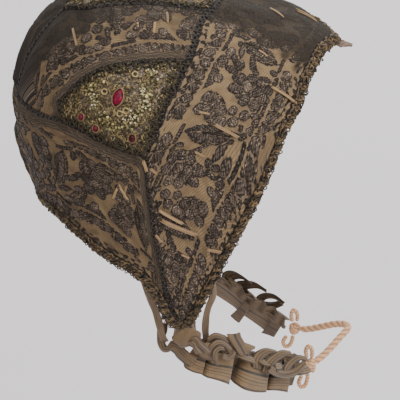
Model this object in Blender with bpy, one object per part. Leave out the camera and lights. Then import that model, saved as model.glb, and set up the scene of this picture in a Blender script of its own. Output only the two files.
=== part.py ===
"""A small child's bonnet of wide metal-thread galloon with embroidered inserts and a ruffled chin strap.

+X is the face and +Y the wearer's left. The origin is the inside of the crown, where the bonnet
sits on a head.
"""

import math

import bpy
import numpy as np

MM = 0.001

# The cap's outer form: a round-cornered egg, measured from the crown axis and from its widest level.
CLOTH = 2.2 * MM
CAP_FRONT = 110.7 * MM
CAP_BACK = 55.5 * MM
CAP_SIDE = 70.0 * MM
CROWN_RISE = 56.3 * MM
NAPE_DROP = 80.0 * MM
CHEEK_DROP = 170.0 * MM
FACE_DROP = 200.0 * MM
ROUNDNESS = 1.9
WIDEST_LEVEL = CLOTH - CROWN_RISE
BACK_SEAM_VALLEY = 2.4 * MM
BACK_SEAM_SPREAD = 11.0

# Trim
SEAM_GAP = 0.8 * MM
CENTRE_GAP = 2.8 * MM
LAYER_GAP = 0.3 * MM
EDGING_WIDTH = 5.0 * MM
EDGING_THICK = 1.6 * MM
RIBBON_THICK = 1.0 * MM
EAR_RIBBON_WIDTH = 3.6 * MM
EAR_RIBBON_DEPTH = CLOTH + LAYER_GAP + RIBBON_THICK / 2
TAB_WIDTH = 12.0 * MM
TAB_THICK = 1.6 * MM
TAB_DEPTH = CLOTH + LAYER_GAP + TAB_THICK / 2
TUCK_THICK = 1.6 * MM
CORD_RADIUS = 1.75 * MM
LOOP_RADIUS = 1.0 * MM

# Pleats of the chin ruffle
PLEAT_DEPTH_AT_STITCHING = 1.9 * MM
PLEAT_DEPTH_AT_EDGE = 4.3 * MM
PLEAT_OVERLAP = 0.13
RUFFLE_ABOVE = 10.0 * MM
RUFFLE_BELOW = 13.0 * MM
RUFFLE_STAND_OFF = 4.6 * MM
POINTS_PER_PLEAT = 9

# Places on the cap are arcs from the crown in degrees: (forward, to the side).
# The side column is for either side, and one_side below turns it to the right or the left.
EAR_TIP = (35.5, 121.0)
FRONT_RIM = (
    (68.5, 0.0), (64.2, 8.5), (61.0, 17.0), (61.2, 27.0), (62.6, 36.0), (66.0, 47.0), (68.0, 58.6),
    (67.2, 68.3), (65.0, 77.3), (60.4, 88.9), (56.0, 97.8), (52.4, 105.0), (48.3, 112.5),
    (44.6, 116.2), (40.1, 118.9), EAR_TIP,
)
NAPE_RIM = (
    EAR_TIP, (26.0, 123.1), (17.5, 122.6), (10.6, 120.8), (2.8, 117.6), (-6.9, 114.0),
    (-15.6, 111.5), (-31.0, 106.8), (-44.0, 101.0), (-58.9, 92.4), (-73.0, 81.8), (-87.0, 69.6),
    (-104.0, 52.0), (-120.0, 28.0), (-128.0, 0.0),
)
BAND_SEAM = (
    (24.0, 0.0), (23.8, 8.0), (23.2, 16.0), (21.6, 26.0), (20.6, 36.0), (18.4, 46.0), (13.5, 58.9),
    (7.3, 69.7), (1.9, 82.0), (-2.4, 90.5), (-2.0, 95.5), (-0.2, 99.5), (2.4, 103.7), (6.2, 108.3),
    (11.0, 113.0), (15.5, 116.2), (22.8, 118.9), (30.5, 119.8),
)
TOP_INSERT_EDGE = ((-36.5, 0.0), (-25.0, 12.5), (-14.0, 16.3), (0.0, 17.0), (23.2, 16.0))
SIDE_INSERT_TOP = ((-47.5, 55.0), (-40.0, 53.5), (-27.5, 50.3), (-14.5, 48.2), (0.7, 47.6), (18.4, 46.0))
SIDE_INSERT_BACK = ((-47.5, 55.0), (-48.2, 63.5))
SIDE_INSERT_LOW = ((-48.2, 63.5), (-37.2, 71.7), (-27.0, 79.6), (-14.1, 86.8), (-2.4, 90.5))
NAPE_SEAM = ((-85.0, 0.0), (-80.5, 20.0), (-71.0, 41.0), (-60.0, 54.5), (-48.2, 63.5))
NAPE_BAND_END = (15.5, 116.2)
CENTRE_BACK = ((-36.5, 0.0), (-85.0, 0.0))
TUCK_PLACE = ((-97.0, 0.0), (-131.5, 0.0))

# Across the centre-back tuck: distance from the middle and height over the bands, in millimetres
TUCK_SECTION = ((-4.8, 3.5), (-2.4, 3.7), (2.4, 3.7), (4.8, 3.5))

# The worn silk at the peak: forward and up from the rim, and width, in millimetres
PEAK_TIP = ((-3.5, 0.1, 8.0), (-0.9, -1.6, 7.5), (2.2, -1.4, 6.5), (5.4, -2.4, 3.5))

# Stones: forward and side arcs, length and width in millimetres, lean from upright in degrees, facets
CENTRE_STONE = (-13.3, 62.9, 8.4, 4.4, 12.0, 12)
SMALL_STONES = (
    (-34.1, 67.0, 3.0, 2.5, 0.0, 8),
    (-27.5, 74.0, 3.0, 2.5, 0.0, 8),
    (-9.2, 81.5, 3.4, 2.8, 0.0, 8),
)
STONE_HEIGHT = 1.9 * MM
STONE_GIRDLE = 0.8 * MM
TABLE_SHARE = 0.55

# Ribbons and tab under the ear tip: forward and side arcs along the middle of each
REAR_RIBBON = (
    (-5.0, 113.2), (-2.1, 116.1), (2.0, 118.6), (5.8, 120.8), (10.2, 123.2), (13.9, 125.3), (17.0, 127.1),
    (20.6, 128.5), (25.6, 129.2), (31.6, 129.0),
)
FRONT_RIBBON = (
    (47.5, 102.4), (53.5, 102.4), (58.0, 103.6), (57.8, 106.8), (59.1, 109.1), (62.6, 110.6), (66.5, 111.0),
)
TAB = ((37.5, 115.4), (39.6, 117.7), (41.8, 119.4), (44.2, 121.3))

# Stitching line of the right ruffle, in millimetres: forward, left, up
RUFFLE_LINE = (
    (17.0, -49.2, -163.4), (21.0, -51.0, -165.4), (26.8, -51.2, -168.3), (38.7, -47.0, -174.4),
    (52.3, -40.0, -182.4), (66.6, -31.0, -192.2), (83.2, -20.8, -201.4),
)
# Its pleats: share of the line, and how many pleats have begun there
PLEAT_STEPS = ((0.0, 0.0), (0.12, 0.25), (0.33, 1.25), (0.62, 2.25), (0.87, 3.25), (1.0, 3.6))

# Chin cord from knot to knot, in millimetres: forward, left, up. The left half mirrors the right.
KNOT_PLACE = (86.4, -19.0, -200.5)
KNOT_SIZE = (3.0, 2.9, 4.0)
CORD_LINE = (
    (89.4, -17.2, -200.2), (94.0, -14.5, -198.8), (99.3, -11.0, -196.0), (104.7, -7.0, -192.9),
    (108.8, -3.4, -191.2), (110.2, 0.0, -190.8),
)
LOWER_LOOP = (
    (85.7, -19.4, -205.0), (85.4, -20.0, -208.2), (84.2, -20.6, -211.2), (82.0, -20.8, -211.6),
    (81.0, -20.8, -208.6), (82.6, -20.4, -205.4),
)
UPPER_LOOP = (
    (85.2, -19.0, -196.1), (84.6, -18.9, -192.6), (85.4, -19.0, -189.8), (87.0, -19.0, -190.4),
    (87.9, -18.9, -193.2), (87.6, -19.0, -196.1),
)


def material(name, colour, roughness, metallic=0.0):
    made = bpy.data.materials.new(name)
    made.use_nodes = True
    shader = made.node_tree.nodes["Principled BSDF"]
    shader.inputs["Base Color"].default_value = (*colour, 1.0)
    shader.inputs["Roughness"].default_value = roughness
    shader.inputs["Metallic"].default_value = metallic
    made.diffuse_color = (*colour, 1.0)
    return made


def cap_point(arcs):
    """Points of the cap's outer face for arcs from the crown, in degrees: forward and to the side."""
    arcs = np.asarray(arcs, float)
    forward, side = arcs[..., 0], arcs[..., 1]
    turn = np.arctan2(side, forward)
    height = np.radians(90.0 - np.hypot(forward, side))
    length = np.where(forward > 0, CAP_FRONT, CAP_BACK)
    reach = 1 / np.hypot(np.cos(turn) / length, np.sin(turn) / CAP_SIDE)
    corner = (np.abs(np.cos(height)) ** ROUNDNESS + np.abs(np.sin(height)) ** ROUNDNESS) ** (-1 / ROUNDNESS)
    valley = BACK_SEAM_VALLEY * np.exp(-((side / BACK_SEAM_SPREAD) ** 2)) * np.clip(-forward / 40.0, 0.0, 1.0)
    out = reach * np.cos(height) * corner - valley
    back_share = np.clip(-np.cos(turn), 0.0, 1.0) ** 2
    front_share = np.clip(np.cos(turn), 0.0, 1.0) ** 2
    drop = NAPE_DROP * back_share + FACE_DROP * front_share + CHEEK_DROP * np.sin(turn) ** 2
    rise = np.sin(height) * corner
    up = WIDEST_LEVEL + np.where(rise > 0, CROWN_RISE, drop) * rise
    return np.stack([out * np.cos(turn), out * np.sin(turn), up], -1)


def slopes(arcs, step=0.05):
    """How far the cap's point moves for one degree forward and one degree to the side."""
    arcs = np.asarray(arcs, float)
    forward = (cap_point(arcs + [step, 0]) - cap_point(arcs - [step, 0])) / (2 * step)
    side = (cap_point(arcs + [0, step]) - cap_point(arcs - [0, step])) / (2 * step)
    return forward, side


def unit(vectors):
    return vectors / np.linalg.norm(vectors, axis=-1, keepdims=True)


def cap_normal(arcs):
    forward, side = slopes(arcs)
    return unit(np.cross(forward, side))


def smooth_curve(rows, steps=16, level_end=False):
    """Points along a Catmull-Rom curve through the rows of a table. A level end meets the centre line square."""
    rows = np.asarray(rows, float)
    after = rows[-2] * [1.0, -1.0] if level_end else 2 * rows[-1] - rows[-2]
    ends = np.vstack([2 * rows[0] - rows[1], rows, after])
    t = np.linspace(0, 1, steps, endpoint=False)[:, None]
    parts = [
        0.5 * (2 * b + (c - a) * t + (2 * a - 5 * b + 4 * c - d) * t**2 + (3 * b - a - 3 * c + d) * t**3)
        for a, b, c, d in zip(ends, ends[1:], ends[2:], ends[3:])
    ]
    return np.vstack(parts + [rows[-1:]])


def shares(points):
    """Each point's share of the way along a line of points."""
    length = np.concatenate([[0.0], np.cumsum(np.linalg.norm(np.diff(points, axis=0), axis=1))])
    return length / length[-1]


def read_line(values, share, at):
    return np.stack([np.interp(at, share, values[:, k]) for k in range(values.shape[1])], -1)


def spaced(points, count):
    """The same line with this many equal steps."""
    return read_line(points, shares(points), np.linspace(0, 1, count + 1))


def inset(curve, distance):
    """A curve on the cap, moved sideways over its face: to the left of its direction as seen from outside."""
    points = cap_point(curve)
    ahead = unit(np.gradient(points, axis=0))
    over = np.cross(cap_normal(curve), ahead) * distance
    forward, side = slopes(curve)
    moved = []
    for place, a, b, shift in zip(curve, forward, side, over):
        moved.append(place + np.linalg.lstsq(np.stack([a, b], -1), shift, rcond=None)[0])
    moved = np.array(moved)
    moved[curve[:, 1] == 0, 1] = 0.0
    return moved


def rim_and_inside():
    """The cap's free edge from the peak by the ear tip to the nape, and the inner edge of its edging."""
    rim = smooth_curve(FRONT_RIM + NAPE_RIM[1:], level_end=True)
    return rim, inset(rim, EDGING_WIDTH)


def halves(curve, rim):
    """The front and the nape stretch of a curve that was made from the rim, parted at the ear tip."""
    tip = np.argmin(np.linalg.norm(rim - EAR_TIP, axis=1))
    return curve[: tip + 1], curve[tip:]


def part_of(curve, start, end):
    """The stretch of a curve between the places nearest to two rows."""
    first = np.argmin(np.linalg.norm(curve - start, axis=1))
    last = np.argmin(np.linalg.norm(curve - end, axis=1))
    return curve[first : last + 1] if first < last else curve[last : first + 1][::-1]


def mirrored(curve):
    return curve * [1.0, -1.0]


def one_side(curve, side):
    return curve * [1.0, side]


def both_sides(curve):
    """A curve that starts on the centre line, joined to its mirror image: from the right to the left."""
    return np.vstack([mirrored(curve)[::-1], curve[1:]])


def joined(*pieces):
    """Curves end to end, with the share of the whole that each one's columns take."""
    total = sum(columns for _, columns in pieces)
    curves, places, done = [], [], 0
    for curve, columns in pieces:
        curves.append(curve)
        places.append((done + shares(cap_point(curve)) * columns) / total)
        done += columns
    return np.vstack(curves), np.concatenate(places)


class Patch:
    """The stretch of cap between four curves that meet at their ends, each bare or from joined()."""

    def __init__(self, *sides):
        self.sides = [side if isinstance(side, tuple) else joined((side, 1)) for side in sides]

    def at(self, u, v):
        (lower, upper, start, end) = (
            read_line(curve, share, at) for (curve, share), at in zip(self.sides, (u, u, v, v))
        )
        corner = [curve[i] for curve, i in ((self.sides[0][0], 0), (self.sides[0][0], -1),
                                            (self.sides[1][0], 0), (self.sides[1][0], -1))]
        u, v = u[..., None], v[..., None]
        bilinear = (
            (1 - u) * (1 - v) * corner[0] + u * (1 - v) * corner[1] + (1 - u) * v * corner[2] + u * v * corner[3]
        )
        return (1 - v) * lower + v * upper + (1 - u) * start + u * end - bilinear

    def grid(self, columns, rows, start_gap=SEAM_GAP):
        """Arcs of a grid that keeps half a seam's gap inside each edge."""
        u, v = np.meshgrid(np.linspace(0, 1, columns + 1), np.linspace(0, 1, rows + 1), indexing="ij")
        points = cap_point(self.at(u, v))
        across = np.linalg.norm(np.diff(points, axis=1), axis=2).sum(axis=1)[:, None]
        along = np.linalg.norm(np.diff(points, axis=0), axis=2).sum(axis=0)[None, :]
        margin_v = np.minimum(SEAM_GAP / 2 / across, 0.35)
        margin_start, margin_end = (np.minimum(gap / 2 / along, 0.35) for gap in (start_gap, SEAM_GAP))
        return self.at(margin_start + (1 - margin_start - margin_end) * u, margin_v + (1 - 2 * margin_v) * v)


def sheet(name, grid, thickness, offset, finish):
    """A grid of points made into cloth of one thickness, with its face turned away from the head."""
    columns, rows = grid.shape[:2]
    index = np.arange(columns * rows).reshape(columns, rows)
    faces = np.stack([index[:-1, :-1], index[1:, :-1], index[1:, 1:], index[:-1, 1:]], -1).reshape(-1, 4)
    middle = np.array([0.0, 0.0, WIDEST_LEVEL])
    corners = grid.reshape(-1, 3)[faces]
    normals = np.cross(corners[:, 2] - corners[:, 0], corners[:, 3] - corners[:, 1])
    if ((corners.mean(axis=1) - middle) * normals).sum() < 0:
        faces = faces[:, ::-1]
    mesh = bpy.data.meshes.new(name)
    mesh.from_pydata(grid.reshape(-1, 3).tolist(), [], faces.tolist())
    mesh.materials.append(finish)
    mesh.shade_smooth()
    made = bpy.data.objects.new(name, mesh)
    bpy.context.scene.collection.objects.link(made)
    cloth = made.modifiers.new("Cloth", "SOLIDIFY")
    cloth.thickness = thickness
    cloth.offset = offset
    return made


def panel(name, patch, columns, rows, thickness, finish, start_gap=SEAM_GAP):
    return sheet(name, cap_point(patch.grid(columns, rows, start_gap)), thickness, -1.0, finish)


def ribbon(name, arcs, width, depth, columns, finish, thickness=RIBBON_THICK):
    """A flat strip that follows the cap's face at a depth under it, inside the cap where that is there."""
    curve = spaced(smooth_curve(arcs), columns)
    points = cap_point(curve)
    normal = cap_normal(curve)
    across = unit(np.cross(normal, np.gradient(points, axis=0))) * width / 2
    middle = points - normal * depth
    return sheet(name, np.stack([middle - across, middle, middle + across], 1), thickness, 0.0, finish)


def tube(name, points, radius, finish):
    curve = bpy.data.curves.new(name, "CURVE")
    curve.dimensions = "3D"
    curve.bevel_depth = radius
    curve.bevel_resolution = 2
    curve.use_fill_caps = True
    spline = curve.splines.new("POLY")
    spline.points.add(len(points) - 1)
    for target, point in zip(spline.points, points):
        target.co = (*point, 1.0)
    curve.materials.append(finish)
    made = bpy.data.objects.new(name, curve)
    bpy.context.scene.collection.objects.link(made)
    return made


def front_band(finish):
    seam = smooth_curve(BAND_SEAM)
    corner = np.array(SIDE_INSERT_LOW[-1])
    above = part_of(seam, seam[0], corner)
    below = part_of(seam, corner, seam[-1])
    rim, inside = rim_and_inside()
    edge, _ = halves(inside, rim)
    whole_seam = joined((mirrored(below)[::-1], 13), (both_sides(above), 28), (below, 13))
    start = np.stack([mirrored(seam)[-1], mirrored(edge)[-1]])
    end = np.stack([seam[-1], edge[-1]])
    panel("front_band", Patch(whole_seam, both_sides(edge), start, end), 54, 7, CLOTH, finish)


def crown_band(name, side, finish):
    seam = smooth_curve(BAND_SEAM)
    top = smooth_curve(TOP_INSERT_EDGE)[::-1]
    insert = smooth_curve(SIDE_INSERT_TOP)[::-1]
    corner_top, corner_low = np.array(TOP_INSERT_EDGE[-1]), np.array(SIDE_INSERT_TOP[-1])
    insert_back = smooth_curve(SIDE_INSERT_BACK)
    patch = Patch(
        joined((one_side(insert, side), 20), (one_side(insert_back, side), 4)),
        joined((one_side(top, side), 14), (one_side(smooth_curve(CENTRE_BACK), side), 10)),
        one_side(part_of(seam, corner_low, corner_top), side),
        one_side(smooth_curve(NAPE_SEAM)[::-1], side),
    )
    panel(name, patch, 24, 6, CLOTH, finish)


def nape_band(name, side, finish):
    seam = part_of(smooth_curve(BAND_SEAM), np.array(SIDE_INSERT_LOW[-1]), np.array(NAPE_BAND_END))
    nape_seam, insert_low = smooth_curve(NAPE_SEAM), smooth_curve(SIDE_INSERT_LOW)
    rim, inside = rim_and_inside()
    edge = halves(inside, rim)[1][::-1]
    nearest = np.argmin(np.linalg.norm(cap_point(edge) - cap_point(np.array(NAPE_BAND_END)), axis=1))
    lower = edge[: nearest + 1]
    patch = Patch(
        one_side(lower, side),
        joined((one_side(nape_seam, side), 9), (one_side(insert_low, side), 10), (one_side(seam, side), 9)),
        one_side(np.stack([lower[0], nape_seam[0]]), side),
        one_side(np.stack([lower[-1], seam[-1]]), side),
    )
    panel(name, patch, 28, 6, CLOTH, finish, CENTRE_GAP)


def side_insert(name, side, finish):
    seam = smooth_curve(BAND_SEAM)
    corner_top, corner_low = np.array(SIDE_INSERT_TOP[-1]), np.array(SIDE_INSERT_LOW[-1])
    patch = Patch(
        one_side(smooth_curve(SIDE_INSERT_LOW), side), one_side(smooth_curve(SIDE_INSERT_TOP), side),
        one_side(smooth_curve(SIDE_INSERT_BACK)[::-1], side),
        one_side(part_of(seam, corner_low, corner_top), side),
    )
    panel(name, patch, 10, 7, CLOTH, finish)


def top_insert(finish):
    edge = smooth_curve(TOP_INSERT_EDGE)
    seam = smooth_curve(BAND_SEAM)
    front = part_of(seam, np.array(BAND_SEAM[0]), np.array(TOP_INSERT_EDGE[-1]))
    apex = np.stack([edge[0], edge[0]]) + [[0.0, -0.5], [0.0, 0.5]]
    patch = Patch(mirrored(edge), edge, apex, both_sides(front))
    panel("top_insert", patch, 14, 6, CLOTH, finish)


def edgings(finish):
    rim, inside = rim_and_inside()
    front_rim, nape_rim = halves(rim, rim)
    front_inside, nape_inside = halves(inside, rim)
    strips = (
        ("front_edging", front_inside, front_rim, 64),
        ("nape_edging", nape_inside[::-1], nape_rim[::-1], 54),
    )
    for name, inner, outer, columns in strips:
        end = np.stack([inner[-1], outer[-1]])
        panel(name, Patch(both_sides(inner), both_sides(outer), mirrored(end), end), columns, 1, EDGING_THICK, finish)


def back_tuck(finish):
    """A narrow fold that stands proud of the two nape bands where they meet."""
    line = spaced(smooth_curve(TUCK_PLACE), 6)
    section = np.array(TUCK_SECTION) * MM
    sideways = np.array([0.0, 1.0, 0.0])
    columns = [
        cap_point(line) + sideways * across + cap_normal(line) * height
        for across, height in section
    ]
    sheet("back_tuck", np.stack(columns, 1), TUCK_THICK, -1.0, finish)


def peak_tip(finish):
    """The worn end of the silk, out from under the edging at the peak."""
    rim = cap_point(np.array(FRONT_RIM[0]))
    rows = [
        [rim + np.array([ahead, across * width / 2, up]) * MM for across in (-1, 0, 1)]
        for ahead, up, width in PEAK_TIP
    ]
    sheet("peak_tip", np.array(rows), RIBBON_THICK, -1.0, finish)


def stone(name, row, side, finish):
    """A cut stone with a flat table, a ring of facets and a straight girdle, seated on the insert."""
    forward, sideways, length, width, lean, facets = row
    place = np.array([forward, sideways * side])
    normal = cap_normal(place)
    along = unit(np.array([0.0, 0.0, 1.0]) - normal * normal[2])
    across = np.cross(normal, along)
    turn = math.radians(lean) * -side
    along, across = along * math.cos(turn) + across * math.sin(turn), across * math.cos(turn) - along * math.sin(turn)
    seat = cap_point(place) + normal * (LAYER_GAP + 0.1 * MM)
    pointed = 1.35 if length > 2 * width - 1 else 1.0
    rings = []
    for share, height in ((0.94, 0.0), (1.0, STONE_GIRDLE), (TABLE_SHARE, STONE_HEIGHT)):
        ring = []
        for k in range(facets):
            angle = math.tau * k / facets
            a = math.cos(angle) * length / 2 * MM * share
            b = math.copysign(abs(math.sin(angle)) ** pointed, math.sin(angle)) * width / 2 * MM * share
            ring.append(seat + along * a + across * b + normal * height)
        rings.append(ring)
    points = [point for ring in rings for point in ring]
    faces = [list(range(facets))[::-1], [2 * facets + k for k in range(facets)]]
    for level in (0, 1):
        for k in range(facets):
            low, high = level * facets, (level + 1) * facets
            faces.append([low + k, low + (k + 1) % facets, high + (k + 1) % facets, high + k])
    if np.dot(np.cross(along, across), normal) < 0:
        faces = [face[::-1] for face in faces]
    mesh = bpy.data.meshes.new(name)
    mesh.from_pydata([tuple(point) for point in points], [], faces)
    mesh.materials.append(finish)
    made = bpy.data.objects.new(name, mesh)
    bpy.context.scene.collection.objects.link(made)


def chin_ruffle(name, side, finish):
    """A ribbon box-pleated along a stitching line near its middle, whose pleats open towards both edges."""
    line = smooth_curve(np.array(RUFFLE_LINE) * MM)
    share = shares(line)
    step_share, step_turn = np.array(PLEAT_STEPS).T
    turn = np.linspace(0, step_turn[-1], math.ceil(step_turn[-1] * POINTS_PER_PLEAT) + 1)
    s = np.interp(turn, step_turn, step_share)
    pitch = np.gradient(s, turn)
    phase = math.tau * turn
    gather = np.minimum(1.0, 0.2 + 5.5 * s) * np.minimum(1.0, 0.3 + 6.0 * (1 - s))
    columns = []
    for w in (-1.0, -0.5, 0.0, 0.5, 1.0):
        edge = abs(w)
        overlap = PLEAT_OVERLAP * (0.55 + 0.45 * edge) * pitch * gather
        moved = np.clip(s - overlap * np.sin(2 * phase), 0, 1)
        middle = read_line(line, share, moved)
        ahead = unit(np.gradient(read_line(line, share, s), axis=0))
        outward = unit(np.cross(ahead, [0.0, 0.0, 1.0]))
        up = np.cross(outward, ahead)
        depth = PLEAT_DEPTH_AT_STITCHING + (PLEAT_DEPTH_AT_EDGE - PLEAT_DEPTH_AT_STITCHING) * edge
        stand = (depth * np.sin(phase) + RUFFLE_STAND_OFF * 0.5 * edge) * gather
        rise = np.where(w < 0, RUFFLE_ABOVE, RUFFLE_BELOW) * -w * gather
        columns.append(middle + outward * stand[:, None] + up * rise[:, None])
    grid = np.stack(columns, 1) * [1.0, -side, 1.0]
    sheet(name, grid, RIBBON_THICK, 0.0, finish)


def tie_knot(name, side, finish):
    mesh = bpy.data.meshes.new(name)
    made = bpy.data.objects.new(name, mesh)
    bpy.context.scene.collection.objects.link(made)
    rings, sectors = 6, 10
    centre = np.array(KNOT_PLACE) * [1.0, -side, 1.0] * MM
    size = np.array(KNOT_SIZE) * MM
    points = [centre + size * [0.0, 0.0, -1.0]]
    for r in range(1, rings):
        level = math.pi * r / rings
        for k in range(sectors):
            turn = math.tau * k / sectors
            direction = [math.sin(level) * math.cos(turn), math.sin(level) * math.sin(turn), -math.cos(level)]
            points.append(centre + size * direction)
    points.append(centre + size * [0.0, 0.0, 1.0])
    faces = []
    for k in range(sectors):
        following = (k + 1) % sectors
        faces.append([0, 1 + following, 1 + k])
        top = 1 + (rings - 2) * sectors
        faces.append([len(points) - 1, top + k, top + following])
        for r in range(rings - 2):
            low, high = 1 + r * sectors, 1 + (r + 1) * sectors
            faces.append([low + k, low + following, high + following, high + k])
    mesh.from_pydata([tuple(point) for point in points], [], faces)
    mesh.materials.append(finish)
    mesh.shade_smooth()


def smooth_line(rows, side, count):
    return spaced(smooth_curve(np.array(rows) * [1.0, -side, 1.0] * MM), count)


def tie_cord(finish):
    half = np.array(CORD_LINE)
    whole = np.vstack([half, half[-2::-1] * [1.0, -1.0, 1.0]])
    tube("tie_cord", smooth_line(whole, -1.0, 16), CORD_RADIUS, finish)


def main():
    for old in list(bpy.data.objects):
        bpy.data.objects.remove(old)
    galloon = material("Galloon", (0.16, 0.12, 0.08), 0.55, 0.4)
    embroidery = material("Embroidery", (0.24, 0.2, 0.08), 0.5, 0.4)
    lace = material("MetalLace", (0.22, 0.17, 0.1), 0.5, 0.5)
    silk = material("TanSilk", (0.35, 0.24, 0.14), 0.7)
    striped = material("StripedRibbon", (0.42, 0.31, 0.2), 0.7)
    cord = material("PeachCord", (0.6, 0.37, 0.2), 0.75)
    red = material("RedStone", (0.5, 0.0, 0.05), 0.15)

    front_band(galloon)
    top_insert(embroidery)
    edgings(lace)
    back_tuck(galloon)
    peak_tip(silk)
    for word, side in (("right", -1.0), ("left", 1.0)):
        crown_band(f"crown_band_{word}", side, galloon)
        nape_band(f"nape_band_{word}", side, galloon)
        side_insert(f"side_insert_{word}", side, embroidery)
        stone(f"centre_stone_{word}", CENTRE_STONE, side, red)
        for number, row in enumerate(SMALL_STONES, 1):
            stone(f"small_stone_{word}_{number}", row, side, red)
        for piece, arcs in (("rear_ribbon", REAR_RIBBON), ("front_ribbon", FRONT_RIBBON)):
            ribbon(f"{piece}_{word}", one_side(np.array(arcs), side), EAR_RIBBON_WIDTH, EAR_RIBBON_DEPTH, 14, striped)
        ribbon(f"tie_tab_{word}", one_side(np.array(TAB), side), TAB_WIDTH, TAB_DEPTH, 4, silk, TAB_THICK)
        chin_ruffle(f"chin_ruffle_{word}", side, striped)
        tie_knot(f"tie_knot_{word}", side, cord)
        tube(f"lower_loop_{word}", smooth_line(LOWER_LOOP, side, 12), LOOP_RADIUS, cord)
        tube(f"upper_loop_{word}", smooth_line(UPPER_LOOP, side, 12), LOOP_RADIUS, cord)
    tie_cord(cord)


main()
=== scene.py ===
"""A child's bonnet of metal-thread galloon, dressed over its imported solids.

Lengths are in metres unless a name or a comment says millimetres. Places on the cap are arcs from the
crown in degrees, forward and to the side. Places on a galloon are millimetres along it and across it.
"""

import math

import bpy
import numpy as np
from mathutils import Matrix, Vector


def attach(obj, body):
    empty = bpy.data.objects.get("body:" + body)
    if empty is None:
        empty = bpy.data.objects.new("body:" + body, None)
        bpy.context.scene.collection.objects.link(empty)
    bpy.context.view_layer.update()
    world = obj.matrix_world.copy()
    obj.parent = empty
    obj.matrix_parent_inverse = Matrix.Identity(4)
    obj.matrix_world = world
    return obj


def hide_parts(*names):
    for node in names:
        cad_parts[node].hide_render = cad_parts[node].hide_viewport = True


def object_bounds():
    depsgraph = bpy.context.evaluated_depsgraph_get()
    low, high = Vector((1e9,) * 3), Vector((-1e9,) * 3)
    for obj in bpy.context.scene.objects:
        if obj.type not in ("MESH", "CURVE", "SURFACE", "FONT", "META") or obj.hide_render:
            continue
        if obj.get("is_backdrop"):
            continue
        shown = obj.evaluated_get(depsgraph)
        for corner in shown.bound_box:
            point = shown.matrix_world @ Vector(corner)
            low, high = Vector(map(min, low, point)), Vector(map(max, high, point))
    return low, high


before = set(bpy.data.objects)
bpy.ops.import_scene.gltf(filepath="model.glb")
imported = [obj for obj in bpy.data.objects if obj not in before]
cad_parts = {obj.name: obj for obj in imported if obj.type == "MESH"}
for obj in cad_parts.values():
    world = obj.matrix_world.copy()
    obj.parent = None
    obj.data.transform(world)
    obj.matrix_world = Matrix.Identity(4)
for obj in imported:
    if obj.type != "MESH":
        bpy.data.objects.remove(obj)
CAD_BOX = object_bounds()

MM = 0.001
SIDES = (("right", -1.0), ("left", 1.0))

# The cap's outer form
CLOTH = 2.2 * MM
CAP_FRONT = 110.7 * MM
CAP_BACK = 55.5 * MM
CAP_SIDE = 70.0 * MM
CROWN_RISE = 56.3 * MM
NAPE_DROP = 80.0 * MM
CHEEK_DROP = 170.0 * MM
FACE_DROP = 200.0 * MM
ROUNDNESS = 1.9
WIDEST_LEVEL = CLOTH - CROWN_RISE
BACK_SEAM_VALLEY = 2.4 * MM
BACK_SEAM_SPREAD = 11.0
BACK_SEAM_RUN = 40.0
EDGING_WIDTH = 5.0 * MM
# How far inside the rim the cloth ends, under its edging
CLOTH_EDGE = EDGING_WIDTH - 1.0 * MM

# Edges and seams, for either side
EAR_TIP = (35.5, 121.0)
FRONT_RIM = (
    (68.5, 0.0), (64.2, 8.5), (61.0, 17.0), (61.2, 27.0), (62.6, 36.0), (66.0, 47.0), (68.0, 58.6),
    (67.2, 68.3), (65.0, 77.3), (60.4, 88.9), (56.0, 97.8), (52.4, 105.0), (48.3, 112.5),
    (44.6, 116.2), (40.1, 118.9), EAR_TIP,
)
NAPE_RIM = (
    EAR_TIP, (26.0, 123.1), (17.5, 122.6), (10.6, 120.8), (2.8, 117.6), (-6.9, 114.0),
    (-15.6, 111.5), (-31.0, 106.8), (-44.0, 101.0), (-58.9, 92.4), (-73.0, 81.8), (-87.0, 69.6),
    (-104.0, 52.0), (-120.0, 28.0), (-128.0, 0.0),
)
BAND_SEAM = (
    (24.0, 0.0), (23.8, 8.0), (23.2, 16.0), (21.6, 26.0), (20.6, 36.0), (18.4, 46.0), (13.5, 58.9),
    (7.3, 69.7), (1.9, 82.0), (-2.4, 90.5), (-2.0, 95.5), (-0.2, 99.5), (2.4, 103.7), (6.2, 108.3),
    (11.0, 113.0), (15.5, 116.2), (22.8, 118.9), (30.5, 119.8),
)
TOP_INSERT_EDGE = ((-36.5, 0.0), (-25.0, 12.5), (-14.0, 16.3), (0.0, 17.0), (23.2, 16.0))
SIDE_INSERT_TOP = ((-47.5, 55.0), (-40.0, 53.5), (-27.5, 50.3), (-14.5, 48.2), (0.7, 47.6), (18.4, 46.0))
SIDE_INSERT_BACK = ((-47.5, 55.0), (-48.2, 63.5))
SIDE_INSERT_LOW = ((-48.2, 63.5), (-37.2, 71.7), (-27.0, 79.6), (-14.1, 86.8), (-2.4, 90.5))
NAPE_SEAM = ((-85.0, 0.0), (-80.5, 20.0), (-71.0, 41.0), (-60.0, 54.5), (-48.2, 63.5))
INSERT_CORNER = SIDE_INSERT_LOW[-1]
NAPE_BAND_END = (15.5, 116.2)
CENTRE_BACK = ((-36.5, 0.0), (-85.0, 0.0))
# The peak's silk: how far ahead of the rim and above it, and its width, in millimetres
PEAK = ((-3.5, 0.3, 8.0), (-0.9, -1.2, 7.8), (1.6, -1.2, 6.4), (3.4, -1.8, 4.6), (4.9, -2.4, 3.4))
TUCK = ((-97.0, 0.0), (-131.5, 0.0))
# Where the tuck's cloth starts along its galloon, in millimetres
TUCK_START = 42.0

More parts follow.
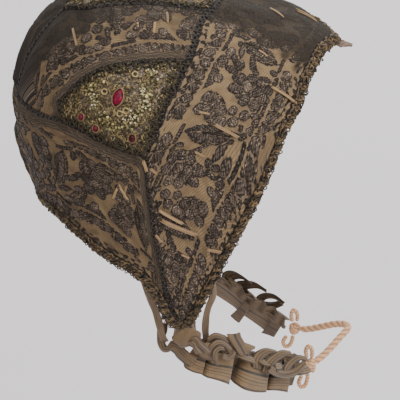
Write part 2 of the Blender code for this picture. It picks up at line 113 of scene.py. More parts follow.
# The camera: its place round the object in degrees, and the photograph's framing
CAMERA_TURN = -9.0
CAMERA_HEIGHT = 26.0
CAMERA_DISTANCE = 1.1
CAMERA_TARGET = (0.0339, 0.0, -0.1133)
CAMERA_LENS = 201.96
CAMERA_SENSOR = 36.0
FLOOR_LEVEL = -0.62
FLOOR_CORNERS = ((-6.0, -6.0), (6.0, -6.0), (6.0, 6.0), (-6.0, 6.0))
# Each lamp's name, place, size and power
LAMPS = (
    ("Overhead", (0.15, -0.45, 1.1), 1.2, 19.0),
    ("Left", (-0.9, -1.0, 0.5), 0.9, 4.5),
    ("Right", (1.0, -0.9, 0.45), 0.9, 14.0),
    ("Far", (0.5, 1.9, 0.9), 1.6, 40.0),
)


def cap_point(arcs):
    """Points of the cap's outer face for arcs from the crown, in degrees: forward and to the side."""
    arcs = np.asarray(arcs, float)
    forward, side = arcs[..., 0], arcs[..., 1]
    turn = np.arctan2(side, forward)
    height = np.radians(90.0 - np.hypot(forward, side))
    length = np.where(forward > 0, CAP_FRONT, CAP_BACK)
    reach = 1 / np.hypot(np.cos(turn) / length, np.sin(turn) / CAP_SIDE)
    corner = (np.abs(np.cos(height)) ** ROUNDNESS + np.abs(np.sin(height)) ** ROUNDNESS) ** (-1 / ROUNDNESS)
    valley = BACK_SEAM_VALLEY * np.exp(-((side / BACK_SEAM_SPREAD) ** 2))
    valley = valley * np.clip(-forward / BACK_SEAM_RUN, 0.0, 1.0)
    out = reach * np.cos(height) * corner - valley
    back_share = np.clip(-np.cos(turn), 0.0, 1.0) ** 2
    front_share = np.clip(np.cos(turn), 0.0, 1.0) ** 2
    drop = NAPE_DROP * back_share + FACE_DROP * front_share + CHEEK_DROP * np.sin(turn) ** 2
    rise = np.sin(height) * corner
    up = WIDEST_LEVEL + np.where(rise > 0, CROWN_RISE, drop) * rise
    return np.stack([out * np.cos(turn), out * np.sin(turn), up], -1)


def slopes(arcs, step=0.05):
    """How far the cap's point moves for one degree forward and one degree to the side."""
    arcs = np.asarray(arcs, float)
    forward = (cap_point(arcs + [step, 0]) - cap_point(arcs - [step, 0])) / (2 * step)
    side = (cap_point(arcs + [0, step]) - cap_point(arcs - [0, step])) / (2 * step)
    return forward, side


def unit(vectors):
    return vectors / np.maximum(np.linalg.norm(vectors, axis=-1, keepdims=True), 1e-12)


def cap_normal(arcs):
    forward, side = slopes(arcs)
    return unit(np.cross(forward, side))


def lifted(arcs, height):
    """Points at a height over the cap's outer face."""
    return cap_point(arcs) + cap_normal(arcs) * np.asarray(height)[..., None]


def smooth_curve(rows, steps=16, level_end=False):
    """Points along a Catmull-Rom curve through a table's rows. A level end meets the centre line square."""
    rows = np.asarray(rows, float)
    after = rows[-2] * [1.0, -1.0] if level_end else 2 * rows[-1] - rows[-2]
    ends = np.vstack([2 * rows[0] - rows[1], rows, after])
    t = np.linspace(0, 1, steps, endpoint=False)[:, None]
    parts = [
        0.5 * (2 * b + (c - a) * t + (2 * a - 5 * b + 4 * c - d) * t**2 + (3 * b - a - 3 * c + d) * t**3)
        for a, b, c, d in zip(ends, ends[1:], ends[2:], ends[3:])
    ]
    return np.vstack(parts + [rows[-1:]])


def lengths(points):
    """How far along a line of points each one is."""
    return np.concatenate([[0.0], np.cumsum(np.linalg.norm(np.diff(points, axis=0), axis=1))])


def run_over(curve):
    """How far over the cap's face each place of a curve is, in millimetres."""
    return lengths(cap_point(curve)) / MM


def shares(points):
    length = lengths(points)
    return length / length[-1]


def read_line(values, share, at):
    """Values along a line, read at other shares of it."""
    return np.stack([np.interp(at, share, values[:, k]) for k in range(values.shape[1])], -1)


def spaced(points, count):
    """The same line with this many equal steps."""
    return read_line(points, shares(points), np.linspace(0, 1, count + 1))


def inset(curve, distance):
    """A curve on the cap, moved sideways over its face: to the left of its direction as seen from outside."""
    points = cap_point(curve)
    ahead = unit(np.gradient(points, axis=0))
    over = np.cross(cap_normal(curve), ahead) * distance
    forward, side = slopes(curve)
    moved = []
    for place, a, b, shift in zip(curve, forward, side, over):
        moved.append(place + np.linalg.lstsq(np.stack([a, b], -1), shift, rcond=None)[0])
    moved = np.array(moved)
    moved[curve[:, 1] == 0, 1] = 0.0
    return moved


def rim_parts(distance):
    """The front and the nape stretch of the cap's rim, then the same two of the curve this far inside it."""
    rim = smooth_curve(FRONT_RIM + NAPE_RIM[1:], level_end=True)
    within = inset(rim, distance)
    tip = np.argmin(np.linalg.norm(rim - EAR_TIP, axis=1))
    return rim[: tip + 1], rim[tip:], within[: tip + 1], within[tip:]


def part_of(curve, start, end):
    """The stretch of a curve between the places nearest to two rows."""
    first = np.argmin(np.linalg.norm(curve - start, axis=1))
    last = np.argmin(np.linalg.norm(curve - end, axis=1))
    return curve[first : last + 1] if first < last else curve[last : first + 1][::-1]


def mirrored(curve):
    return np.asarray(curve) * [1.0, -1.0]


def one_side(curve, side):
    return np.asarray(curve, float) * [1.0, side]


def both_sides(curve):
    """A curve that starts on the centre line, joined to its mirror image: from the right to the left."""
    return np.vstack([mirrored(curve)[::-1], curve[1:]])


def joined(*pieces):
    """Curves end to end, with the share of the whole that each one takes."""
    total = sum(columns for _, columns in pieces)
    curves, places, done = [], [], 0
    for curve, columns in pieces:
        curves.append(curve)
        places.append((done + shares(cap_point(curve)) * columns) / total)
        done += columns
    return np.vstack(curves), np.concatenate(places)


class Patch:
    """The stretch of one side of the cap between four curves that meet, each bare or from joined()."""

    def __init__(self, lower, upper, start, end, side=1.0):
        self.side = side
        self.edges = [
            edge if isinstance(edge, tuple) else joined((edge, 1)) for edge in (lower, upper, start, end)
        ]

    def at(self, u, v):
        lower, upper, start, end = (
            read_line(curve, share, at) for (curve, share), at in zip(self.edges, (u, u, v, v))
        )
        first, last = self.edges[0][0], self.edges[1][0]
        u, v = u[..., None], v[..., None]
        corners = (1 - v) * ((1 - u) * first[0] + u * first[-1]) + v * ((1 - u) * last[0] + u * last[-1])
        return ((1 - v) * lower + v * upper + (1 - u) * start + u * end - corners) * [1.0, self.side]

    def grid(self, columns, rows):
        u, v = (np.linspace(0, 1, count + 1) for count in (columns, rows))
        return self.at(*np.meshgrid(u, v, indexing="ij"))


def smoothstep(low, high, value):
    share = np.clip((value - low) / (high - low), 0.0, 1.0)
    return share * share * (3 - 2 * share)


def wobble(places, size, seed):
    """A smooth random value near -1 to 1 for each place, with features of about this size."""
    draw = np.random.default_rng(seed)
    waves = draw.normal(0, 1, (14, places.shape[-1]))
    waves = unit(waves) * draw.uniform(0.6, 1.5, (14, 1)) * math.tau / size
    turns = places @ waves.T + draw.uniform(0, math.tau, 14)
    return np.sin(turns).sum(-1) / math.sqrt(14)


# Meshes


def grid_faces(columns, rows, first=0):
    """Triangles between the points of a grid, whose first point has this number."""
    index = np.arange(columns * rows).reshape(columns, rows) + first
    a, b, c, d = index[:-1, :-1], index[1:, :-1], index[1:, 1:], index[:-1, 1:]
    return np.concatenate([np.stack([a, b, c], -1).reshape(-1, 3), np.stack([a, c, d], -1).reshape(-1, 3)])


def edge_ring(columns, rows):
    """The numbers of a grid's outermost points, in order round it."""
    index = np.arange(columns * rows).reshape(columns, rows)
    return np.concatenate([index[:-1, 0], index[-1, :-1], index[:0:-1, -1], index[0, :0:-1]])


def bands(low, high):
    """Triangles between closed rings of points, each ring of low with the same one of high."""
    after_low, after_high = np.roll(low, -1, axis=-1), np.roll(high, -1, axis=-1)
    corners = ((low, after_low, after_high), (low, after_high, high))
    return np.vstack([np.stack(three, -1).reshape(-1, 3) for three in corners])


def ring_faces(rings, sectors):
    """Triangles of a closed body whose points go round it in rings, with a flat face at each end."""
    index = np.arange(rings * sectors).reshape(rings, sectors)
    faces = [bands(index[:-1], index[1:])]
    for end in (index[0][::-1], index[-1]):
        faces.append(np.stack([np.full(sectors - 2, end[0]), end[1:-1], end[2:]], -1))
    return np.vstack(faces)


def mesh_piece(name, points, faces, finish, replaces=(), fields=None, places=None, smooth=True):
    """A piece of the object from points, triangles, values for each point and places on its cloth."""
    points = np.asarray(points, np.float32).reshape(-1, 3)
    faces = np.asarray(faces, np.int32).reshape(-1, 3)
    mesh = bpy.data.meshes.new(name)
    mesh.vertices.add(len(points))
    mesh.vertices.foreach_set("co", points.ravel())
    mesh.loops.add(faces.size)
    mesh.loops.foreach_set("vertex_index", faces.ravel())
    mesh.polygons.add(len(faces))
    mesh.polygons.foreach_set("loop_start", np.arange(0, faces.size, 3, dtype=np.int32))
    mesh.update(calc_edges=True)
    mesh.validate()
    for field, values in (fields or {}).items():
        layer = mesh.attributes.new(field, "FLOAT", "POINT")
        layer.data.foreach_set("value", np.asarray(values, np.float32).ravel())
    if places is not None:
        layer = mesh.uv_layers.new(name="cloth")
        layer.data.foreach_set("uv", np.asarray(places, np.float32).reshape(-1, 2)[faces.ravel()].ravel())
    mesh.materials.append(finish)
    if smooth:
        mesh.shade_smooth()
    made = bpy.data.objects.new(name, mesh)
    bpy.context.scene.collection.objects.link(made)
    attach(made, "root")
    if replaces:
        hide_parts(*replaces)
    return made


class Heap:
    """Small meshes gathered into one piece, each point with a tone."""

    def __init__(self):
        self.points, self.faces, self.tones, self.count = [], [], [], 0

    def add(self, points, faces, tone=0.5):
        points = np.asarray(points, float).reshape(-1, 3)
        self.points.append(points)
        self.faces.append(np.asarray(faces) + self.count)
        self.tones.append(np.broadcast_to(np.asarray(tone, float), len(points)))
        self.count += len(points)

    def tube(self, line, radius, sectors, tone):
        """A tube along a line, with its radius in millimetres."""
        self.add(*tube_mesh(line, radius * MM, sectors), tone)

    def piece(self, name, finish, slot, replaces=(), smooth=True):
        return mesh_piece(
            name, np.vstack(self.points), np.vstack(self.faces), finish, replaces,
            {"tone": np.concatenate(self.tones)}, smooth=smooth,
        )


def circles(line, sectors):
    """Unit circles square to a line of points, carried along it without twist."""
    ahead = unit(np.gradient(line, axis=0))
    start = np.array([0.0, 0.0, 1.0]) if abs(ahead[0, 2]) < 0.9 else np.array([1.0, 0.0, 0.0])
    side = unit(np.cross(ahead[0], start))
    sides = []
    for direction in ahead:
        side = unit(side - direction * np.dot(side, direction))
        sides.append(side)
    sides = np.array(sides)
    angle = np.linspace(0, math.tau, sectors, endpoint=False)[None, :, None]
    return np.cos(angle) * sides[:, None] + np.sin(angle) * np.cross(ahead, sides)[:, None]


def tube_mesh(line, radius, sectors):
    """A closed tube along a line of points, whose radius may change along it."""
    radius = np.broadcast_to(np.asarray(radius, float), len(line))
    points = line[:, None] + circles(line, sectors) * radius[:, None, None]
    return points.reshape(-1, 3), ring_faces(len(line), sectors)


def closed_strip(grid, thickness):
    """The points and triangles of a cloth with two faces, from the grid of its middle."""
    normal = unit(np.cross(np.gradient(grid, axis=0), np.gradient(grid, axis=1))) * thickness / 2
    columns, rows = grid.shape[:2]
    count = columns * rows
    ring = edge_ring(columns, rows)
    points = np.vstack([(grid + normal).reshape(-1, 3), (grid - normal).reshape(-1, 3)])
    under = grid_faces(columns, rows, count)[:, ::-1]
    return points, np.vstack([grid_faces(columns, rows), under, bands(ring + count, ring)])


def cloth_piece(name, finish, node, thickness, sheets, turned=False):
    """Cloth made of sheets. Each sheet: the grid of its middle, places along and across, and its fields."""
    heap, places, values = Heap(), [], []
    for grid, along, across, fields in sheets:
        heap.add(*closed_strip(grid, thickness))
        places += [np.stack(np.broadcast_arrays(along, across), -1).reshape(-1, 2)] * 2
        values += [{key: np.broadcast_to(value, grid.shape[:2]).ravel() for key, value in fields.items()}] * 2
    faces = np.vstack(heap.faces)
    fields = {key: np.concatenate([value[key] for value in values]) for key in values[0]}
    return mesh_piece(
        name, np.vstack(heap.points), faces[:, ::-1] if turned else faces, finish, [node], fields,
        np.vstack(places),
    )


def sheet_area(grid):
    across, along = np.diff(grid, axis=1)[:-1], np.diff(grid, axis=0)[:, :-1]
    return float(np.linalg.norm(np.cross(along, across), axis=2).sum())


# Materials


def colour(levels):
    """A colour given as a screen shows it, 0 to 255, as a shader takes it."""
    lights = [level / 255 for level in levels]
    return tuple(x / 12.92 if x <= 0.04045 else ((x + 0.055) / 1.055) ** 2.4 for x in lights)


class Value:
    """What an output of a shader's node gives. Arithmetic with it makes further nodes."""

    def __init__(self, shader, socket):
        self.shader, self.socket = shader, socket

    def also(self, output):
        """What another output of the same node gives."""
        return Value(self.shader, self.socket.node.outputs[output])

    def __add__(self, other):
        return self.shader.maths("ADD", self, other)

    def __sub__(self, other):
        return self.shader.maths("SUBTRACT", self, other)

    def __rsub__(self, other):
        return self.shader.maths("SUBTRACT", other, self)

    def __mul__(self, other):
        return self.shader.maths("MULTIPLY", self, other)

    __radd__, __rmul__ = __add__, __mul__


class Shader:
    """A procedural material, built up node by node. Its colours are given as a screen shows them."""

    def __init__(self, name, **sockets):
        self.material = bpy.data.materials.new(name)
        self.material.use_nodes = True
        self.tree = self.material.node_tree
        for socket, value in sockets.items():
            self.put(socket.replace("_", " "), value)

    def put(self, socket, value):
        self.feed(value, self.tree.nodes["Principled BSDF"].inputs[socket])

    def feed(self, value, target):
        if isinstance(value, Value):
            self.tree.links.new(value.socket, target)
        elif target.type == "RGBA":
            target.default_value = (*colour(value), 1.0)
        else:
            target.default_value = value

    def node(self, kind, inputs, output=0, **settings):
        """What a new node gives at one of its outputs, once it is set and fed."""
        made = self.tree.nodes.new(f"ShaderNode{kind}")
        for name, value in settings.items():
            setattr(made, name, value)
        for key, value in inputs.items():
            self.feed(value, made.inputs[key])
        return Value(self, made.outputs[output])

    def field(self, name):
        return self.node("Attribute", {}, "Fac", attribute_name=name)

    def places(self):
        return self.node("UVMap", {}, "UV", uv_map="cloth")

    def body(self):
        return self.node("TexCoord", {}, "Object")

    def parts(self, vector):
        """The first two numbers of a vector."""
        first = self.node("SeparateXYZ", {0: vector})
        return first, first.also(1)

    def maths(self, operation, *values):
        return self.node("Math", dict(enumerate(values)), operation=operation)

    def wave(self, value, period):
        """A sine that comes round once in each period."""
        return self.maths("SINE", value * (math.tau / period))

    def span(self, value, low, high, out_low=0.0, out_high=1.0):
        """The value carried from one range to another, smoothly and held at both ends."""
        numbers = dict(enumerate((value, low, high, out_low, out_high)))
        return self.node("MapRange", numbers, interpolation_type="SMOOTHSTEP")

    def mix(self, share, a, b):
        return self.node("Mix", {0: share, 6: a, 7: b}, 2, data_type="RGBA")

    def scaled(self, vector, factors):
        return self.node("VectorMath", {0: vector, 1: factors}, operation="MULTIPLY")

    def noise(self, vector, scale, detail=2.0, roughness=0.5):
        inputs = {"Vector": vector, "Scale": scale, "Detail": detail, "Roughness": roughness}
        return self.node("TexNoise", inputs, "Fac")

    def cells(self, vector, scale):
        """The distance to the nearest cell's middle."""
        return self.node("TexVoronoi", {"Vector": vector, "Scale": scale}, "Distance")

    def finished(self, surface, height, depth, strength=1.0):
        """The material, with its colour and a relief of this depth."""
        self.put("Base Color", surface)
        self.put("Normal", self.node("Bump", {"Strength": strength, "Distance": depth, "Height": height}))
        return self.material


def galloon_finish():
    shader = Shader("Galloon", Specular_IOR_Level=0.16)
    place = shader.places()
    along, across = shader.parts(place)
    figure, tone, hatch, wear, darkening, hem = (
        shader.field(name) for name in ("figure", "tone", "hatch", "wear", "darkening", "hem")
    )
    fine = shader.noise(place, 2.6, 3.0, 0.65)
    streak = shader.noise(shader.scaled(place, (0.5, 2.6, 1.0)), 1.0, 3.0, 0.6)
    slub = shader.noise(shader.scaled(place, (0.35, 3.4, 1.0)), 1.5, 3.0, 0.7)
    broad = shader.noise(place, 0.11, 3.0, 0.6)
    patchy = shader.noise(place, 0.42, 2.0)

    rib = shader.wave(along, 0.46)
    slant = shader.wave(0.35 * along + across, 1.1)
    silk = shader.mix(0.16 * rib + 0.9 * fine + 1.1 * slub - 0.5 + 0.2 * slant, (77, 63, 45), (152, 128, 95))
    silk = shader.mix(shader.span(broad, 0.4, 0.65, 0.0, 0.7), silk, (101, 83, 61))

    cell = shader.cells(shader.scaled(place, (1.0, 1.5, 1.0)), 1.15)
    cell_share = shader.parts(cell.also("Color"))[0]
    cell_middle = shader.span(cell, 0.5, 0.3)
    scale = shader.wave(along, 1.6) * shader.wave(across, 1.2)
    thread = 0.9 * scale + 0.6 * shader.wave(hatch + 1.1 * fine, 1.3)
    lit = 0.26 * thread + 0.5 * tone + 0.8 * fine + patchy - 0.8
    metal = shader.mix(shader.span(lit, 0.0, 0.9), (31, 26, 24), (114, 99, 85))
    gap = shader.span(cell_share, 0.3, 0.22) * cell_middle
    # Painted glints: some cells of the metal are made bright, standing in for light caught by its threads.
    glint = shader.span(0.16 * tone + cell_share, 0.93, 0.98) * cell_middle
    # Painted shade: a dark band inside each figure's edge, where the raised figure meets the ground.
    outline = shader.span(figure, 0.9, 0.5)
    ring = shader.span(figure, 0.4, 0.15) * shader.span(patchy, 0.35, 0.6, 0.15, 0.75)
    for share, tint in (
        (0.8 * gap, (20, 17, 15)), (0.8 * glint, (172, 152, 130)), (0.9 * outline, (24, 20, 17)),
        (ring, (130, 112, 92)),
    ):
        metal = shader.mix(share, metal, tint)
    figured = shader.span(figure, -0.1, 0.12)

    stripe = shader.span(shader.maths("SINE", hem * (math.tau / 1.6) + 1.0), 0.55, 0.95)
    stripe = stripe * shader.span(fine, 0.35, 0.6, 0.05, 0.6)
    dark_hem = shader.mix(shader.span(fine, 0.3, 0.7), (39, 34, 30), (87, 76, 64))
    cloth = shader.mix(figured, silk, metal)
    cloth = shader.mix(shader.span(hem, 4.65, 4.3), cloth, shader.mix(stripe, dark_hem, (134, 114, 90)))

    worn = shader.mix(shader.span(0.9 * fine + streak - 0.95, -0.35, 0.35), (16, 14, 12), (66, 57, 47))
    worn = shader.mix(0.35 * figured, worn, (28, 24, 20))
    # Darker in broad patches where the darkening field is set: by a set amount on some panels, and by painted
    # shade along each galloon panel's edges.
    patchy_darkening = darkening * shader.span(broad, 0.3, 0.75, 0.6, 1.0)
    cloth = shader.mix(patchy_darkening, shader.mix(wear, cloth, worn), (44, 37, 31))

    bare = figured * (1.0 - outline) * (1.0 - wear)
    shader.put("Metallic", 0.2 * bare)
    shader.put("Roughness", shader.span(bare, 0.0, 1.0, 0.8, 0.56))
    relief = 0.35 * rib + 1.6 * fine + 0.5 * thread * bare + 4.0 * streak * wear
    return shader.finished(cloth, relief, 0.14 * MM, 0.7)


# The galloon's woven figures. Each row: kind, middle along and across, half sizes, turn, tone, hatch turn.
# They fill half a repeat, and each next half is the same one turned over.
HALF_REPEAT = 47.0
GALLOON_WIDTH = 49.0
CHART = (
    ("leaf", 45.8, 26.6, 11.2, 4.9, 86, 0.30, 20),
    ("leaf", 46.8, 27.0, 9.0, 2.3, 84, 0.62, 70),
    ("leaf", 43.9, 24.0, 7.5, 0.8, 83, 0.00, 0),
    ("oval", 51.2, 24.2, 2.5, 1.5, 25, 0.25, 30),
    ("oval", 54.6, 26.2, 2.7, 1.9, 28, 0.35, 60),
    ("oval", 57.4, 28.4, 2.7, 1.7, 25, 0.35, 20),
    ("leaf", 57.9, 34.0, 3.4, 1.5, 85, 0.35, 80),
    ("oval", 66.3, 29.4, 7.3, 8.4, 0, 0.02, 0),
    ("oval", 62.6, 35.8, 3.0, 3.7, 25, 0.35, 80),
    ("oval", 67.3, 36.4, 2.6, 3.5, -8, 0.40, 100),
    ("oval", 71.6, 33.4, 3.1, 2.2, 18, 0.60, 10),
    ("oval", 72.0, 28.2, 3.1, 2.5, -10, 0.50, 0),
    ("oval", 68.3, 22.9, 2.7, 3.8, 12, 0.40, 95),
    ("oval", 62.8, 22.8, 3.1, 4.0, -16, 0.40, 75),
    ("oval", 60.6, 28.0, 2.4, 2.6, 10, 0.45, 20),
    ("oval", 60.9, 32.4, 2.2, 2.4, -10, 0.30, -20),
    ("oval", 66.2, 31.8, 2.5, 2.2, 0, 0.55, 45),
    ("oval", 65.4, 27.3, 2.7, 2.2, 0, 0.75, -45),
    ("bar", 47.8, 39.3, 4.6, 0.9, 0, 0.15, 0),
    ("leaf", 56.8, 38.8, 4.0, 1.2, -6, 0.25, 0),
    ("oval", 53.0, 36.6, 1.7, 2.2, 10, 0.40, 0),
    ("bar", 71.8, 38.9, 3.8, 0.9, 0, 0.30, 0),
    ("bar", 72.2, 36.5, 2.4, 0.5, 0, 0.30, 0),
    ("oval", 76.2, 37.2, 1.6, 2.5, 0, 0.35, 0),
    ("oval", 79.2, 38.6, 2.7, 1.8, 0, 0.50, 30),
    ("oval", 83.4, 38.2, 2.6, 2.1, 0, 0.55, -30),
    ("oval", 87.0, 36.4, 2.5, 2.3, -40, 0.40, 0),
    ("oval", 88.1, 32.4, 1.3, 2.8, 5, 0.35, 0),
    ("oval", 84.0, 34.0, 2.0, 1.1, 25, 0.20, 0),
    ("oval", 78.4, 31.9, 2.6, 2.4, 0, 0.55, 30),
    ("oval", 83.2, 29.2, 2.7, 2.5, 0, 0.50, -30),
    ("oval", 78.2, 26.4, 2.4, 2.1, 0, 0.60, 0),
    ("oval", 80.8, 18.4, 9.4, 5.4, 48, 0.05, 0),
    ("oval", 85.0, 23.7, 3.7, 3.0, 40, 0.55, 80),
    ("oval", 80.2, 21.6, 3.1, 2.5, 60, 0.45, 60),
    ("oval", 78.1, 17.5, 3.7, 2.4, 25, 0.60, 80),
    ("oval", 76.2, 13.6, 3.0, 2.8, 0, 0.45, 100),
    ("oval", 82.8, 13.0, 2.9, 2.6, 0, 0.50, 0),
    ("oval", 83.6, 18.0, 2.4, 2.6, 20, 0.75, 80),
    ("wedge", 66.2, 12.4, 7.4, 3.1, 0, 0.35, 0),
    ("oval", 66.4, 13.4, 2.3, 2.3, 0, 0.90, 0),
    ("oval", 52.6, 13.3, 3.9, 2.2, 12, 0.45, 20),
    ("oval", 58.0, 12.4, 3.3, 2.3, 20, 0.35, 30),
    ("leaf", 60.2, 17.4, 3.7, 1.8, 80, 0.40, 80),
    ("oval", 56.6, 19.6, 2.9, 2.5, 10, 0.40, 60),
    ("oval", 55.0, 16.5, 2.8, 1.5, 30, 0.55, 0),
    ("leaf", 49.8, 17.6, 4.4, 1.4, 18, 0.35, 60),
    ("oval", 45.4, 15.4, 1.8, 1.2, 20, 0.30, 0),
    ("bar", 47.4, 9.7, 5.8, 0.8, 0, 0.15, 0),
)
# Along each edge the same group stands several times in a half repeat
EDGE_GROUPS = 4
EDGE_STEP = HALF_REPEAT / EDGE_GROUPS
EDGE_START = 42.0
# No shape of either chart reaches past these places along the galloon
CHART_START = 40.0
CHART_END = 95.0
# How far a shape's place, turn and tone change by chance
CHANGES = (0.15, 0.15, 3.0, 0.12)
EDGE_CHART = (
    ("oval", 5.2, 4.4, 6.2, 2.2, 0, 0.0, 0),
    ("oval", 2.3, 4.9, 2.6, 2.8, 12, 0.55, 60),
    ("oval", 8.0, 5.1, 2.3, 2.6, -12, 0.50, -60),
    ("oval", 5.2, 2.2, 1.5, 1.1, 0, 0.60, 0),
    ("oval", 5.3, 7.2, 0.9, 0.9, 0, 0.40, 0),
    ("oval", 10.9, 2.0, 1.7, 0.9, 0, 0.40, 0),
    ("bar", 11.0, 6.2, 0.6, 1.6, 15, 0.20, 0),
)


def chart_distance(kind, x, y, a, b):
    """How far a place is outside a chart's shape, and below zero inside it, in millimetres."""
    if kind == "oval":
        near = np.hypot(x / a, y / b)
        slope = np.maximum(np.hypot(x / a**2, y / b**2), 1e-6)
        return near * (near - 1) / slope
    if kind == "leaf":
        radius = (a * a + b * b) / (2 * b)
        return np.hypot(x, np.abs(y) + radius - b) - radius
    if kind == "bar":
        over = np.maximum(np.stack([np.abs(x) - a, np.abs(y) - b]), 0)
        return np.hypot(*over) + np.minimum(np.maximum(np.abs(x) - a, np.abs(y) - b), 0)
    length = math.hypot(2 * b, a)
    return np.maximum(-b - y, (np.abs(x) * 2 * b + (y - b) * a) / length)


def chart_rows(low, high):
    """The chart repeated over a stretch of galloon."""
    rows = list(CHART)
    for group in range(EDGE_GROUPS):
        for kind, s, t, *rest in EDGE_CHART:
            start = EDGE_START + s + group * EDGE_STEP
            rows += [(kind, start, t, *rest), (kind, start + EDGE_STEP / 2, GALLOON_WIDTH - t, *rest)]
    first = math.floor((low - CHART_END) / HALF_REPEAT)
    last = math.ceil((high - CHART_START) / HALF_REPEAT)
    for k in range(first, last + 1):
        for kind, s, t, a, b, turn, tone, hatch in rows:
            if k % 2:
                t, turn, hatch = GALLOON_WIDTH - t, 180 if kind == "wedge" else -turn, -hatch
            yield kind, s + k * HALF_REPEAT, t, a, b, turn, tone, hatch


def woven(places, seed):
    """The galloon's figure at each place: depth inside it in millimetres, tone and hatch line."""
    along, across = places.reshape(-1, 2).T
    order = np.argsort(along, kind="stable")
    s, t = along[order], across[order]
    depth, tone, hatch = np.full(len(s), -3.0), np.zeros(len(s)), np.zeros(len(s))
    draw = np.random.default_rng(seed)
    ragged = 0.24 * wobble(np.stack([s, t], -1), 1.7, seed) + 0.3
    for kind, mid_s, mid_t, a, b, turn, light, lean in chart_rows(s[0], s[-1]):
        size = max(a, b) + 3.0
        first, last = np.searchsorted(s, [mid_s - size, mid_s + size])
        shift_s, shift_t, twist, glow = draw.normal(0, 1, 4) * CHANGES
        if first == last:
            continue
        view = slice(first, last)
        ds, dt = s[view] - mid_s - shift_s, t[view] - mid_t - shift_t
        angle, lean = math.radians(turn + twist), math.radians(lean)
        x, y = ds * math.cos(angle) + dt * math.sin(angle), dt * math.cos(angle) - ds * math.sin(angle)
        inside = ragged[view] - chart_distance(kind, x, y, a, b)
        over = inside > 0
        bordering = (inside <= 0) & (depth[view] > 0) & (inside > -0.35)
        depth[view] = np.where(bordering, np.minimum(depth[view], -inside), depth[view])
        outer = np.where(depth[view] < 0, np.maximum(depth[view], inside), depth[view])
        depth[view] = np.where(over, inside, outer)
        tone[view] = np.where(over, light + glow, tone[view])
        hatch[view] = np.where(over, ds * math.cos(lean) + dt * math.sin(lean), hatch[view])
    back = np.empty(len(order), int)
    back[order] = np.arange(len(order))
    return [values[back].reshape(places.shape[:-1]) for values in (depth, np.clip(tone, 0, 1), hatch)]


# Two lines along each galloon: how far across it they lie, in millimetres
LINES_AT = (9.3, 39.7)
# Where they run over the cap: the lower or back one, then the upper or front one
FRONT_LINES = (
    ((24.6, 0.0), (54.0, 0.0)), ((26.5, 14.0), (51.8, 15.0)), ((31.0, 27.1), (49.8, 30.0)),
    ((29.0, 41.0), (51.6, 43.0)), ((25.8, 55.4), (52.5, 56.1)), ((20.2, 68.3), (51.7, 69.8)),
    ((16.1, 78.1), (50.6, 77.7)), ((11.6, 87.9), (45.9, 85.9)), ((4.9, 93.5), (41.8, 90.6)),
    ((0.0, 97.0), (39.1, 94.6)), ((-4.5, 101.5), (36.0, 100.0)), ((-9.0, 106.5), (32.5, 106.5)),
    ((-13.0, 112.0), (29.0, 113.0)), ((-17.0, 118.0), (26.0, 120.0)),
)
NAPE_LINES = (
    ((-112.0, 40.0), (-100.7, 0.1)), ((-96.0, 55.0), (-90.0, 24.0)), ((-84.0, 64.0), (-78.3, 46.0)),
    ((-75.3, 71.2), (-68.0, 59.0)), ((-66.0, 78.5), (-57.0, 70.5)), ((-57.5, 85.4), (-47.0, 77.5)),
    ((-46.0, 90.8), (-37.0, 83.5)), ((-34.3, 95.9), (-26.7, 88.2)), ((-17.7, 103.1), (-15.2, 92.8)),
    ((0.3, 109.0), (-5.0, 96.5)), ((6.9, 111.4), (5.0, 100.5)),
)
CROWN_LINES = (
    ((-63.2, 42.6), (-50.0, 8.0)), ((-55.9, 41.3), (-45.0, 9.0)), ((-49.9, 39.9), (-40.0, 9.5)),
    ((-37.3, 40.4), (-32.0, 9.0)), ((-25.3, 40.2), (-22.0, 9.0)), ((-13.0, 39.4), (-12.0, 9.0)),
    ((-4.3, 38.1), (-3.0, 8.0)), ((9.9, 37.2), (9.5, 7.5)), ((19.1, 36.6), (19.0, 7.0)),
    ((28.0, 36.0), (28.0, 6.5)),
)


def galloon_places(arcs, lines):
    """How far along and across a galloon each place is, in millimetres. Both sides count from the centre."""
    rows = np.array(lines)
    lower, upper = smooth_curve(rows[:, 0]), smooth_curve(rows[:, 1])
    along = run_over((lower + upper) / 2)
    cross = upper - lower
    found = []
    flat = np.stack([arcs[..., 0].ravel(), np.abs(arcs[..., 1]).ravel()], -1)
    for chunk in np.array_split(flat, max(1, len(flat) // 8000)):
        away = chunk[:, None] - lower[None]
        turn = cross[None, :, 0] * away[..., 1] - cross[None, :, 1] * away[..., 0]
        share = (away * cross[None]).sum(-1) / (cross**2).sum(-1)[None]
        change = turn[:, :-1] * turn[:, 1:] <= 0
        cost = np.where(change, np.abs(share[:, :-1] - 0.5), 1e9)
        beyond = np.where(np.abs(turn[:, 0]) < np.abs(turn[:, -1]), 0, len(lower) - 2)
        nearest = np.where(change.any(1), cost.argmin(1), beyond)
        pick = np.arange(len(chunk))
        low, high = turn[pick, nearest], turn[pick, nearest + 1]
        part = np.clip(low / np.where(low == high, 1e-9, low - high), -3.0, 4.0)
        s = along[nearest] + part * (along[nearest + 1] - along[nearest])
        t = share[pick, nearest] * (1 - part) + share[pick, nearest + 1] * part
        found.append(np.stack([s, LINES_AT[0] + t * (LINES_AT[1] - LINES_AT[0])], -1))
    return np.vstack(found).reshape(arcs.shape)


# Panels of the cap

GRAIN = 0.64 * MM
SEAM_FALL = 1.0 * MM
SEAM_SPREAD = 1.9 * MM
RELIEF = 0.38 * MM
# The most points of the lining along and across a panel
LINING_POINTS = (49, 13)
# Where a hem's stripes end, as a shader reads it, in millimetres
HEM_EDGE = 4.6
# What a galloon's fields say on the plain lining inside
FIELD_INSIDE = {"figure": -3.0, "tone": 0.5, "hatch": 0.0, "wear": 1.0, "darkening": 0.15, "hem": 9.0}


